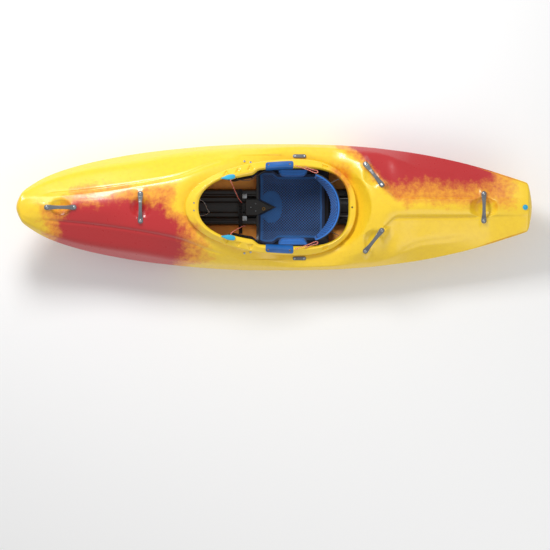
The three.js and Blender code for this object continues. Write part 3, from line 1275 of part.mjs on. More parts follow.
// Cords. Their points are places on the boat, chosen by hand.
const CORD_ROUTES = {
  pull_cord_starboard: [PULL_CORD_DIAMETER, [
    [-237, 145.4, 414], [-235, 138, 412], [-230, 128, 398], [-224, 114, 362], [-216, 93, 300],
    [-207, 72, 232], [-197, 50, 160], [-187, 35, 96], [-180, 26, 53.2]
  ]],
  pull_cord_port: [PULL_CORD_DIAMETER, [
    [-235, -145.4, 414], [-232, -138, 411], [-226, -132, 396], [-214, -124, 352], [-204, -118, 296],
    [-192, -112, 228], [-178, -105, 150], [-167, -101.5, 90], [-161, -100.9, 50], [-160, -100.9, 24]
  ]],
  backband_cord_starboard: [BAND_CORD_DIAMETER, [
    [108, 221.7, 310], [128, 216, 309], [160, 205, 306], [188, 194.5, 303], [207, 186, 300],
    [221, 183, 297.5], [229, 188, 295], [224, 195, 293.5], [208, 199, 293.5], [190, 204, 295.5],
    [172, 211, 299], [158, 217, 301]
  ]],
  bungee_starboard: [BUNGEE_DIAMETER, [
    [341, 150, 272], [330, 146, 270], [308, 134, 266], [298, 127, 264], [308, 113, 263], [322, 92, 262],
    [336, 62, 262], [341, 47, 263], [350, 46, 265], [372, 47, 269], [389, 47, 272]
  ]],
  footrest_cord: [LINE_DIAMETER, [
    [-470, 44, 62], [-440, 46, 60], [-402, 39, 58], [-381, 23, 56], [-368, -6, 55], [-358, -24, 55],
    [-366, -36, 56], [-384, -43, 57], [-410, -46, 58], [-440, -47, 60], [-470, -46, 62]
  ]],
  adjuster_line: [LINE_DIAMETER, [
    [-207.4, 156, 404.4], [-196, 148, 395], [-178, 144, 385], [-157, 142, 376], [-136, 144, 368],
    [-112, 156, 360], [-92, 169, 354], [-70, 184, 348], [-48.4, 194, 340]
  ]],
};
const acrossBoat = (points) => points.map(([x, y, z]) => [x, -y, z]);
CORD_ROUTES.backband_cord_port = [BAND_CORD_DIAMETER, acrossBoat(CORD_ROUTES.backband_cord_starboard[1])];
CORD_ROUTES.bungee_port = [BUNGEE_DIAMETER, acrossBoat(CORD_ROUTES.bungee_starboard[1])];
const CORD_COLOURS = { pull: COLOURS.red, backband: COLOURS.red, bungee: COLOURS.black,
  footrest: COLOURS.white, adjuster: COLOURS.black };
for (const [name, [diameter, points]] of Object.entries(CORD_ROUTES)) {
  addPart(name, cordTube(points, diameter), CORD_COLOURS[name.split('_')[0]], .8);
}

// Webbing strap across the tray, with its buckle
function trayStrap() {
  const half = STRAP_WIDTH / 2;
  const edge = TRAY_WIDTH / 2 + STRAP_THICK;
  const [floor, rail] = [floorHeight(STRAP_X) + FIT, trayTop(STRAP_X - STRAP_WIDTH / 2) + FIT];
  const line = [[-STRAP_PORT, floor], [-edge - STRAP_WIDTH, floor], [-edge, floor], [-edge, rail],
    [edge, rail]];
  const outward = [[0, 1], [0, 1], [-1, 1], [-1, 1], [0, 1]];
  const face = (lift) => (u, v) => {
    const corner = Math.round(u * (line.length - 1));
    const [y, z] = line[corner];
    const [outY, outZ] = outward[corner];
    const grow = lift * STRAP_THICK * (corner < 2 ? 2 : 1);
    return xyz(STRAP_X + lerp(-half, half, v), y + outY * grow, z + outZ * grow);
  };
  const buckle = boxSolid(xyz(STRAP_X - BUCKLE_WIDTH / 2, -BUCKLE_LENGTH * .75, rail - BUCKLE_THICK / 2),
    xyz(STRAP_X + BUCKLE_WIDTH / 2, BUCKLE_LENGTH / 4, rail + BUCKLE_THICK / 2));
  return solid(plateBetween(face(1), face(0), line.length - 1, 1)).subtract(raisedHull).add(buckle);
}

addPart('tray_strap', geometryOf(trayStrap()), COLOURS.black, .8);

export default parts;
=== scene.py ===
"""Dressed model of a whitewater kayak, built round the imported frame.

Lengths are in millimetres until a mesh is made. The bow points to -X, starboard is +Y and the floor
is z = 0, as in the frame.
"""

import logging
import math
from dataclasses import dataclass, field
from enum import Enum, IntEnum
from typing import Callable, Sequence

import bmesh
import bpy
import numpy as np
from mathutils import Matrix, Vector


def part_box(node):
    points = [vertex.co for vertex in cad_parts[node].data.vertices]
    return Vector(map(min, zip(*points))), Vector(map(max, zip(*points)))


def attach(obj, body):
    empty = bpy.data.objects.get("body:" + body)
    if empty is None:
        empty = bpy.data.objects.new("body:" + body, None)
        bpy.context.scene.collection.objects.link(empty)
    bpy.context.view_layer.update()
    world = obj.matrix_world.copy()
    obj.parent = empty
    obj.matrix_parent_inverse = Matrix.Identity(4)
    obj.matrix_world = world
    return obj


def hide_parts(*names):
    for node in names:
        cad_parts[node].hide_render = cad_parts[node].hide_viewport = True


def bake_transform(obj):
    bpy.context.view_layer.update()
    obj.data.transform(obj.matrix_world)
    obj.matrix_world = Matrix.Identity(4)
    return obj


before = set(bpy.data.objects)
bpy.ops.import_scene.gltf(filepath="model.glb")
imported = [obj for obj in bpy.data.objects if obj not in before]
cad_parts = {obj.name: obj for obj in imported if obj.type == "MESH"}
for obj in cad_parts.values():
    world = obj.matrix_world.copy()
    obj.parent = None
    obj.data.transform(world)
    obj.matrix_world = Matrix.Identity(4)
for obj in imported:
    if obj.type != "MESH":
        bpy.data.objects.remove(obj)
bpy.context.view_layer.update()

Array = np.ndarray
Number = float | np.ndarray
Point = Sequence[float]
Pair = tuple[Array, Array]

LOG = logging.getLogger("kayak")
MM = 0.001
WELD = 1e-7
TURN = 2 * math.pi
TINY, TINIEST = 1e-6, 1e-9

HALF_LENGTH = 1370.0
HALF_BEAM = 339.0
DEPTH = 457.0
WALL = 6.0
FIT = 0.3
PLUG_PLACE = (1333.0, 0.0, 317.5)


class Corner(IntEnum):
    """The corners of the hull's half section, from the keel to the crown of the deck."""

    KEEL = 0
    CHINE = 1
    LEDGE = 2
    SEAM = 3
    SHOULDER = 4
    VALLEY = 5
    RIDGE = 6
    CROWN = 7


# The hull's table of offsets, in shares of the half length, the half beam and the depth. Each row is a place
# along the boat and then the half width and height of each corner.
STATIONS = np.array([
    (-.982, .024, .849, .106, .862, .171, .886, .209, .928, .165, .972, .1, .989, .077, .993, 0, .998),
    (-.942, .041, .716, .195, .733, .307, .766, .354, .812, .289, .895, .171, .954, .133, .965, 0, .982),
    (-.876, .065, .562, .295, .595, .451, .652, .504, .698, .41, .823, .206, .906, .168, .926, 0, .956),
    (-.766, .1, .368, .407, .411, .59, .525, .658, .567, .546, .726, .248, .849, .201, .875, 0, .908),
    (-.657, .147, .243, .516, .295, .667, .42, .764, .477, .634, .674, .301, .812, .248, .845, 0, .884),
    (-.526, .236, .151, .625, .201, .737, .354, .858, .435, .717, .665, .378, .818, .319, .851, 0, .871),
    (-.38, .369, .077, .714, .131, .841, .319, .926, .411, .832, .6, .496, .801, .428, .849, 0, .875),
    (-.219, .501, .028, .755, .088, .926, .311, .979, .396, .903, .573, .72, .713, .631, .757, 0, .867),
    (-.073, .575, 0, .767, .072, .956, .302, 1, .396, .932, .547, .82, .635, .737, .665, 0, .766),
    (.073, .575, 0, .767, .07, .959, .302, 1, .4, .95, .516, .876, .538, .791, .547, 0, .56),
    (.219, .546, .014, .749, .094, .938, .311, .988, .405, .932, .512, .873, .525, .773, .538, 0, .591),
    (.328, .487, .057, .708, .136, .903, .333, .962, .411, .885, .525, .779, .595, .702, .648, 0, .731),
    (.387, .448, .091, .684, .158, .882, .341, .941, .418, .855, .543, .525, .683, .466, .726, 0, .768),
    (.438, .413, .127, .655, .184, .855, .35, .917, .425, .796, .573, .271, .722, .224, .751, 0, .777),
    (.474, .389, .153, .631, .208, .838, .361, .9, .431, .723, .613, .165, .72, .124, .753, 0, .775),
    (.569, .324, .228, .578, .271, .773, .398, .844, .446, .56, .626, .156, .687, .118, .726, 0, .748),
    (.715, .23, .35, .472, .389, .655, .446, .72, .49, .481, .591, .153, .643, .118, .681, 0, .696),
    (.825, .147, .444, .36, .477, .531, .512, .599, .536, .416, .578, .147, .628, .118, .659, 0, .676),
    (.905, .13, .514, .319, .538, .442, .562, .493, .578, .369, .606, .147, .65, .112, .67, 0, .683),
    (.964, .118, .571, .271, .584, .366, .595, .413, .611, .336, .637, .147, .672, .112, .685, 0, .694),
    (.982, .106, .584, .248, .595, .333, .604, .381, .619, .313, .643, .142, .676, .106, .687, 0, .694),
    (.991, .077, .591, .177, .597, .248, .606, .283, .619, .23, .639, .106, .663, .08, .67, 0, .674),
])
TIPS = (0.941, 0.619)
ROUNDING = (0.4, 0.32, 0.2, 0.08, 0.3, 0.2, 0.35, 0.5)

# Heights of the rim's crest and of its lip along the boat, in shares of the half length and the depth.
CREST = ((-.296, .954), (-.257, .939), (-.21, .917), (-.164, .886), (-.117, .847), (-.07, .801),
         (0, .74), (.07, .674), (.126, .646), (.182, .635), (.245, .63), (.286, .626))
LIP = ((-.348, .921), (-.283, .882), (-.15, .821), (-.038, .733), (.02, .646), (.126, .597),
       (.245, .586), (.282, .597), (.317, .621))

# The grab handles: a name, the place in shares of the half length and the half beam, and the turn in degrees.
HANDLE_TABLE = (("bow", -.83, 0, 0), ("front_deck", -.521, 0, 90), ("rear_starboard", .385, .508, -52),
                ("rear_port", .385, -.516, 52), ("stern", .813, 0, 90))


class Side(Enum):
    """The two sides of the boat, with the sign of Y on each."""

    STARBOARD = 1
    PORT = -1

    @property
    def label(self) -> str:
        """The side's word in a piece's name."""
        return self.name.lower()


def lerp(a: Number, b: Number, t: Number) -> Number:
    """A straight mix of two values or arrays: a at t = 0 and b at t = 1."""
    return a + (b - a) * t


def smoothstep(x: Number, low: float, high: float) -> Array:
    """A smooth rise from 0 at low to 1 at high, as three squares less two cubes."""
    t = np.clip((np.asarray(x, float) - low) / (high - low), 0, 1)
    return t * t * (3 - 2 * t)


def smooth_min(a: Number, b: Number, radius: float) -> Number:
    """The lower of two heights, with a fillet of about the given radius where they meet."""
    h = np.clip(0.5 + 0.5 * (b - a) / radius, 0, 1)
    return b * (1 - h) + a * h - radius * h * (1 - h)


def smooth_max(a: Number, b: Number, radius: float) -> Number:
    """The higher of two heights, with a fillet of about the given radius where they meet."""
    return -smooth_min(-a, -b, radius)


def past(value: Number, start: float, end: float = 1.0) -> Array:
    """How far a value is on the straight way from a start to an end, from 0 to 1."""
    return np.clip((value - start) / (end - start), 0, 1)


def bell(distance: Number, wide: float) -> Number:
    """A bell curve: e to the power of less the square of a distance over the width."""
    return np.exp(-(distance / wide) ** 2)


def bent(value: Number, power: Number) -> Array:
    """A value raised to a power with its sign kept, as in a superellipse."""
    return np.sign(value) * np.abs(value) ** power


def eased(count: int) -> Array:
    """Places from 0 to 1 that crowd at both ends: a half of one less a cosine."""
    return (1 - np.cos(np.linspace(0, math.pi, count))) / 2


def circle(count: int) -> Pair:
    """Cosine and sine of even steps once round."""
    turn = np.arange(count) / count * TURN
    return np.cos(turn), np.sin(turn)


def cushion_grid(rows: int, columns: int) -> Pair:
    """Places along and across a cushion, from 0 to 1, as a column and a row."""
    return eased(rows)[:, None], eased(columns)[None, :]


def swell(u: Array, v: Array) -> Array:
    """A cushion's fullness: the root of a product that is 0 at the edges, cut off at 1."""
    return np.sqrt(np.minimum(1, 64 * u * (1 - u) * v * (1 - v)))


def edge_share(u: Array, v: Array, power: float = 1.0) -> Array:
    """How near a cushion's place is to its edge: 0 in the middle and 1 on it."""
    return np.maximum(np.abs(2 * u - 1) ** power, np.abs(2 * v - 1))


def spots(x: Number, y: Number, z: Number) -> Array:
    """Points from three coordinates that broadcast together."""
    return np.stack(np.broadcast_arrays(x, y, z), axis=-1)


def unit(vectors: Array) -> Array:
    """Vectors along the last axis, brought to a length of one."""
    size = np.linalg.norm(vectors, axis=-1, keepdims=True)
    return vectors / np.where(size == 0, 1, size)


def distances(line: Array) -> Array:
    """How far each point of a line lies along it."""
    return np.concatenate([[0], np.cumsum(np.linalg.norm(np.diff(line, axis=0), axis=1))])


def resampled(line: Array, count: int) -> Array:
    """A line of points, placed again at even steps along it."""
    far = distances(line)
    return np.stack([np.interp(np.linspace(0, far[-1], count), far, part) for part in line.T], axis=-1)


def read_rows(places: Array, values: Array, at: Array) -> Array:
    """Read each row of a table at its own place, straight between the places beside it.

    Args:
        places: rising places, one row of them for each reading.
        values: the values at the places.
        at: one place for each row.

    Returns:
        One value for each row.
    """
    i = np.clip((places <= at[:, None]).sum(axis=1) - 1, 0, places.shape[1] - 2)
    row = np.arange(len(i))
    low, high = places[row, i], places[row, i + 1]
    t = np.clip((at - low) / np.maximum(high - low, TINY), 0, 1)
    return lerp(values[row, i], values[row, i + 1], t)


class Curve:
    """A cubic curve through a table that never overshoots it.

    The slope at an inner place is the harmonic mean of the rises on both sides, or none where they differ
    in sign. At the ends it is the outer rise, or none.
    """

    def __init__(self, places: Array, values: Array, flat_ends: bool = False) -> None:
        """Work out the slopes.

        Args:
            places: rising places.
            values: the values there, with any number of parts each.
            flat_ends: whether the curve is level at both ends.
        """
        self.places, self.values = np.asarray(places, float), np.asarray(values, float)
        self.parts = (1,) * (self.values.ndim - 1)
        rises = np.diff(self.values, axis=0) / np.diff(self.places).reshape(-1, *self.parts)
        before, after = rises[:-1], rises[1:]
        total = np.where(before + after == 0, 1, before + after)
        inner = np.where(before * after > 0, 2 * before * after / total, 0)
        ends = 0.0 if flat_ends else 1.0
        self.slopes = np.concatenate([rises[:1] * ends, inner, rises[-1:] * ends])

    def __call__(self, place: Number) -> Array:
        """Read the curve as a cubic between the two nearest places, from their values and slopes.

        Args:
            place: one or more places; beyond the table its end value holds.

        Returns:
            The values, shaped as the places with the values' own parts last.
        """
        at = np.clip(np.asarray(place, float), self.places[0], self.places[-1])
        i = np.clip(np.searchsorted(self.places, at, side="left") - 1, 0, len(self.places) - 2)
        shape = at.shape + self.parts
        width = (self.places[i + 1] - self.places[i]).reshape(shape)
        t = (at - self.places[i]).reshape(shape) / width
        back = 1 - t
        return (self.values[i] * back * back * (1 + 2 * t) + self.values[i + 1] * t * t * (3 - 2 * t)
                + width * t * back * (self.slopes[i] * back - self.slopes[i + 1] * t))


def curve_of(table: Sequence[Point], place_scale: float = 1.0, value_scale: float = 1.0,
             column: int = 1) -> Curve:
    """A curve from one column of a table of shares, scaled along and up."""
    rows = np.array(table, float)
    return Curve(rows[:, 0] * place_scale, rows[:, column] * value_scale)


def rounded(points: Array, radius: float, steps: int, closed: bool = False) -> Array:
    """Round the corners of lines.

    Each corner is replaced by a quadratic arc that starts and ends at the radius from it, or at 0.45 of
    the shorter edge beside it.

    Args:
        points: corners, shaped (..., count, 3).
        radius: distance from a corner to its arc's ends.
        steps: pieces of each arc.
        closed: whether the last corner joins the first.

    Returns:
        The rounded lines, shaped (..., more, 3).
    """
    t = np.linspace(0, 1, steps + 1)[:, None]
    ends = []
    for shift in (1, -1):
        way = np.roll(points, shift, axis=-2) - points
        size = np.maximum(np.linalg.norm(way, axis=-1, keepdims=True), TINIEST)
        ends.append((points + way * np.minimum(0.45, radius / size))[..., None, :])
    arcs = ends[0] * (1 - t) ** 2 + 2 * points[..., None, :] * t * (1 - t) + ends[1] * t ** 2
    if closed:
        return arcs.reshape(points.shape[:-2] + (-1, 3))
    inner = arcs[..., 1:-1, :, :].reshape(points.shape[:-2] + (-1, 3))
    return np.concatenate([points[..., :1, :], inner, points[..., -1:, :]], axis=-2)


def grid_quads(rows: int, columns: int, around: bool = True, along: bool = False) -> Array:
    """The quads of a grid.

    Args:
        rows: rows of points.
        columns: points in a row.
        around: whether each row closes on itself.
        along: whether the last row joins the first.

    Returns:
        Four numbers of points for each quad.
    """
    i = np.arange(rows if along else rows - 1)[:, None]
    j = np.arange(columns if around else columns - 1)[None, :]
    near, far, right = i * columns, (i + 1) % rows * columns, (j + 1) % columns
    return np.stack(np.broadcast_arrays(near + j, far + j, far + right, near + right), axis=-1).reshape(-1, 4)


@dataclass
class Skin:
    """A growing mesh: points in millimetres, faces, and a mark of three values on each point."""

    points: list[Array] = field(default_factory=list)
    faces: list[list[int]] = field(default_factory=list)
    marks: list[Array] = field(default_factory=list)
    count: int = 0

    def add(self, points: Array, faces: Sequence[Array], mark: Number | Point = 0.0) -> "Skin":
        """Add points with their faces.

        Args:
            points: points in any grid, with x, y and z last.
            faces: groups of faces, one row of point numbers for each face.
            mark: a mark for each point, or one for all.

        Returns:
            The skin itself.
        """
        self.points.append(points.reshape(-1, 3))
        self.marks.append(np.broadcast_to(mark, points.shape).reshape(-1, 3))
        for group in faces:
            self.faces.extend((group + self.count).tolist())
        self.count += len(self.points[-1])
        return self

    def grid(self, grid: Array, around: bool = True, along: bool = False, ends: bool = False,
             mark: Number | Point = 0.0) -> "Skin":
        """Add a grid of points as quads, row by row.

        Args:
            grid: points shaped (rows, columns, 3).
            around: whether each row closes on itself.
            along: whether the last row joins the first.
            ends: whether the first and last rows are filled in.
            mark: a mark for each point, or one for all.

        Returns:
            The skin itself.
        """
        rows, columns = grid.shape[:2]
        faces, cap = [grid_quads(rows, columns, around, along)], np.arange(columns)[None, :]
        if ends:
            faces += [cap, cap + (rows - 1) * columns]
        return self.add(grid, faces, mark)

    def sheet(self, top: Array, bottom: Array, bulge: float = 0.0, steps: int = 3,
              marks: Sequence[Number | Point] = (0.0, 0.0, 0.0)) -> "Skin":
        """Add a closed body between two grids of points.

        The edge between them bulges outwards, away from the grid, as half a sine wave.

        Args:
            top: points of one face.
            bottom: points of the other.
            bulge: the edge's greatest reach outwards.
            steps: rows of quads across the edge.
            marks: marks of the top, the bottom and the edge.

        Returns:
            The skin itself.
        """
        index = np.arange(top[..., 0].size).reshape(top.shape[:2])
        border, inner = (np.concatenate([index[i], index[1:, j], index[j, -2::-1], index[-2:0:-1, i]])
                         for i, j in ((0, -1), (1, -2)))
        upper, lower = top.reshape(-1, 3)[border], bottom.reshape(-1, 3)[border]
        outward = unit(upper - top.reshape(-1, 3)[inner])
        t = np.linspace(0, 1, steps + 1)[:, None, None]
        band = lerp(upper, lower, t) + outward * bulge * np.sin(math.pi * t)
        self.grid(top, around=False, mark=marks[0]).grid(bottom, around=False, mark=marks[1])
        return self.grid(np.concatenate([band, band[:, :1]], axis=1), around=False, mark=marks[2])


def place_by_frame(points: Array, origin: Point, along: Point, up: Point) -> Array:
    """Points moved from their own axes to a frame.

    Args:
        points: points in their own axes.
        origin: the frame's origin.
        along: where its X points, before it is made square to up.
        up: where its Z points.

    Returns:
        The points in the boat's axes.
    """
    z = unit(np.asarray(up, float))
    y = unit(np.cross(z, along))
    return np.asarray(origin, float) + points @ np.stack([np.cross(y, z), y, z])


def flipped(points: Array, side: Side) -> Array:
    """Points as they are for starboard, and mirrored across the boat for port."""
    return points * np.array([1, side.value, 1])


def smoothed_path(points: Sequence[Point], step: float) -> Array:
    """A cord's line: a centripetal cubic through its points, resampled at even steps.

    Each stretch is a Hermite curve whose tangents come from the distances to the power of a half
    between the points on both sides.

    Args:
        points: places that the line passes.
        step: distance between the points of the line.

    Returns:
        The line's points.
    """
    knots = np.asarray(points, float)
    knots = np.concatenate([[2 * knots[0] - knots[1]], knots, [2 * knots[-1] - knots[-2]]])
    p0, p1, p2, p3 = knots[:-3], knots[1:-2], knots[2:-1], knots[3:]
    s0, s1, s2 = (np.sqrt(np.linalg.norm(b - a, axis=1, keepdims=True)) for a, b in ((p0, p1), (p1, p2), (p2, p3)))
    first = ((p1 - p0) / s0 - (p2 - p0) / (s0 + s1) + (p2 - p1) / s1) * s1
    second = ((p2 - p1) / s1 - (p3 - p1) / (s1 + s2) + (p3 - p2) / s2) * s1
    t = np.linspace(0, 1, 40, endpoint=False)[None, :, None]
    a, b, m, n = (v[:, None, :] for v in (p1, p2, first, second))
    line = ((2 * t ** 3 - 3 * t ** 2 + 1) * a + (t ** 3 - 2 * t ** 2 + t) * m
            + (3 * t ** 2 - 2 * t ** 3) * b + (t ** 3 - t ** 2) * n).reshape(-1, 3)
    line = np.concatenate([line, knots[-2:-1]])
    return resampled(line, max(8, int(round(distances(line)[-1] / step))))


def swept(path: Array, sides: int, radius: Callable[[Array, Array], Array]) -> Pair:
    """A tube along a path, with a reference direction square to most of the path.

    A point is the path's point plus the radius times the cosine and sine of its turn along the two
    directions across the path.

    Args:
        path: points of the middle line.
        sides: points round it.
        radius: the radius as a function of the turn and of the distance along the path.

    Returns:
        The grid of points, and each one's mark: cosine and sine of the turn, and distance along.
    """
    tangent = unit(np.gradient(path, axis=0))
    across = unit(np.cross(tangent, np.linalg.svd(tangent)[2][-1]))
    upward = np.cross(across, tangent)
    turns, fars = np.broadcast_arrays((np.arange(sides) / sides * TURN)[None, :], distances(path)[:, None])
    mark = np.stack([np.cos(turns), np.sin(turns), fars], axis=-1)
    ways = mark[..., :1] * across[:, None, :] + mark[..., 1:2] * upward[:, None, :]
    return path[:, None, :] + radius(turns, fars)[..., None] * ways, mark


def lathe(profile: Sequence[Point], sides: int, flats: Sequence[float] = (), across_flats: float = 0.0) -> Array:
    """A turned form about +Z.

    Where flats is 1 the radius follows a hexagon: its half width over the cosine of the turn from the
    nearest flat's middle.

    Args:
        profile: pairs of radius and height.
        sides: points round the form.
        flats: a share of the hexagon for each pair, or nothing.
        across_flats: the hexagon's width.

    Returns:
        Points shaped (pairs, sides, 3).
    """
    turn = np.arange(sides) / sides * TURN
    radius, height = np.array(profile, float).T[:, :, None]
    if len(flats):
        nearest = (turn + math.pi / 6) % (math.pi / 3) - math.pi / 6
        radius = lerp(radius, across_flats / 2 / np.cos(nearest), np.array(flats, float)[:, None])
    return spots(radius * np.cos(turn), radius * np.sin(turn), height)


def prism(outline: Array, profile: Sequence[Point]) -> Array:
    """Rings of a closed flat outline, each drawn in along its mitres and raised.

    Args:
        outline: pairs that run counter-clockwise.
        profile: how far each ring is drawn in, and its height.

    Returns:
        Points shaped (rings, corners, 3).
    """
    edges = unit(outline - np.roll(outline, 1, axis=0)), unit(np.roll(outline, -1, axis=0) - outline)
    first, second = (np.stack([-edge[:, 1], edge[:, 0]], axis=-1) for edge in edges)
    share = np.maximum(1 + np.sum(first * second, axis=-1, keepdims=True), 0.35)
    return np.array([np.column_stack([outline + (first + second) * drawn / share, np.full(len(outline), height)])
                     for drawn, height in profile], float)


def flat_outline(corners: Sequence[Point], radius: float, steps: int) -> Array:
    """A closed flat outline with its corners rounded."""
    return rounded(np.column_stack([corners, np.zeros(len(corners))]), radius, steps, closed=True)[:, :2]


def rounded_box(size: Point, edge: float, place: Point) -> Array:
    """Rings of a box with its upright edges and its rims rounded.

    Args:
        size: its length, width and height.
        edge: the rounding of its rims, and half that of its upright edges.
        place: its middle.

    Returns:
        Points shaped (rings, corners, 3).
    """
    x, y, z = (value / 2 for value in size)
    soft = edge * 0.3
    outline = flat_outline([(-x, -y), (x, -y), (x, y), (-x, y)], 2 * edge, 4)
    profile = [(edge, -z), (soft, soft - z), (0, edge - z), (0, z - edge), (soft, z - soft), (edge, z)]
    return prism(outline, profile) + place


def cad_box(node: str) -> Pair:
    """The lowest and highest corner of a CAD node, in millimetres."""
    low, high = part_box(node)
    return np.array(low) / MM, np.array(high) / MM


@dataclass
class HullForm:
    """The hull's form as a function of a mark, which is a distance along the seam line.

    The table's corners are joined along the boat by smooth curves of the mark, measured round the bow
    and the stern, so that both ends come out round.
    """

    deck_steps: tuple = ((2, 2, 2, 2, 4, 4, 4, 6), (1, 1, 1, 1, 1, 1, 1, 6))
    deck_points: int = 29
    side_steps: tuple = ((4,) * 8, (2,) * 8)
    side_points: int = 24
    fine: int = 6001
    probe: float = 4.0

    def __post_init__(self) -> None:
        """Work out the curves through the table of offsets."""
        xs = np.concatenate([[-1.0], STATIONS[:, 0], [1.0]]) * HALF_LENGTH
        bow, stern = (np.tile([[0.0, share]], (1, len(Corner), 1)) for share in TIPS)
        corners = STATIONS[:, 1:].reshape(-1, len(Corner), 2)
        corners = np.concatenate([bow, corners, stern]) * [HALF_BEAM, DEPTH]
        marks = distances(np.column_stack([xs, corners[:, Corner.SEAM, 0]]))
        self.x_at = Curve(marks, xs, flat_ends=True)
        self.corners_at = Curve(marks, corners)
        self.fine_marks = np.linspace(0, marks[-1], self.fine)
        self.fine_x = self.x_at(self.fine_marks)

    def mark_at(self, x: Number) -> Array:
        """The mark at a place along the boat."""
        return np.interp(x, self.fine_x, self.fine_marks)

    def section(self, marks: Array, bends: Sequence[int], runs: Sequence[int]) -> Array:
        """Half sections from the keel's middle to the crown.

        Each corner is a quadratic arc that starts and ends at its rounding share of the edges beside it,
        and straight runs join the arcs. The crown's arc stops half way, on the boat's middle line.

        Args:
            marks: places of the sections.
            bends: steps round each corner.
            runs: steps of the straight run that leads to each corner.

        Returns:
            Points as half width and height, shaped (sections, points, 2).
        """
        corners = self.corners_at(marks).copy()
        ridge = corners[:, Corner.RIDGE]
        corners[:, Corner.CROWN, 1] += (corners[:, Corner.CROWN, 1] - ridge[:, 1]) / 3
        keel = corners[:, :1] * [0, 1]
        path = np.concatenate([keel, corners, (ridge * [-1, 1])[:, None]], axis=1)
        line = [keel]
        for i, share in enumerate(ROUNDING):
            corner = path[:, i + 1, None]
            start, end = lerp(corner, path[:, i, None], share), lerp(corner, path[:, i + 2, None], share)
            run = np.linspace(0, 1, runs[i] + 1)[1:-1, None]
            t = np.linspace(0, 0.5 if i == Corner.CROWN else 1, bends[i] + 1)[:, None]
            line.append(lerp(line[-1][:, -1:], start, run))
            line.append(start * (1 - t) ** 2 + 2 * corner * t * (1 - t) + end * t ** 2)
        return np.concatenate(line, axis=1)

    def crossing(self, x: Number, at: Number, steps: tuple, part: slice, known: int) -> Array:
        """Read half sections for one coordinate where the other is known, straight between their points.

        Args:
            x: places along the boat.
            at: the known coordinate there.
            steps: steps round the sections' corners and along their straight runs.
            part: the points to read between, in rising order of the known coordinate.
            known: 0 where half widths are known, and 1 where heights are.

        Returns:
            The other coordinate for each place.
        """
        x, at = np.broadcast_arrays(np.asarray(x, float), np.asarray(at, float))
        half = self.section(self.mark_at(x.ravel()), *steps)[:, part]
        return read_rows(half[..., known], half[..., 1 - known], at.ravel()).reshape(x.shape)

    def deck(self, x: Number, y: Number) -> Array:
        """Height of the deck at places along and across it, before the gutter and the hollows are cut."""
        return self.crossing(x, np.abs(y), self.deck_steps, slice(None, -1 - self.deck_points, -1), 0)

    def side(self, x: Number, z: Number) -> Array:
        """Half width of the hull's side under the seam, at places along it and heights."""
        return self.crossing(x, z, self.side_steps, slice(self.side_points), 1)

    def floor(self, x: Number) -> Array:
        """Height of the flat floor inside the hull."""
        return self.corners_at(self.mark_at(np.atleast_1d(x)))[:, Corner.KEEL, 1] + WALL

    def deck_normal(self, x: float, y: float) -> Array:
        """Direction square to the deck at a place, from its rises over a step each way along and across."""
        step = self.probe
        rises = np.diff(self.deck([x - step, x + step, x, x], [y, y, y - step, y + step]))[::2]
        return unit(np.cross([2 * step, 0, rises[0]], [0, 2 * step, rises[1]]))


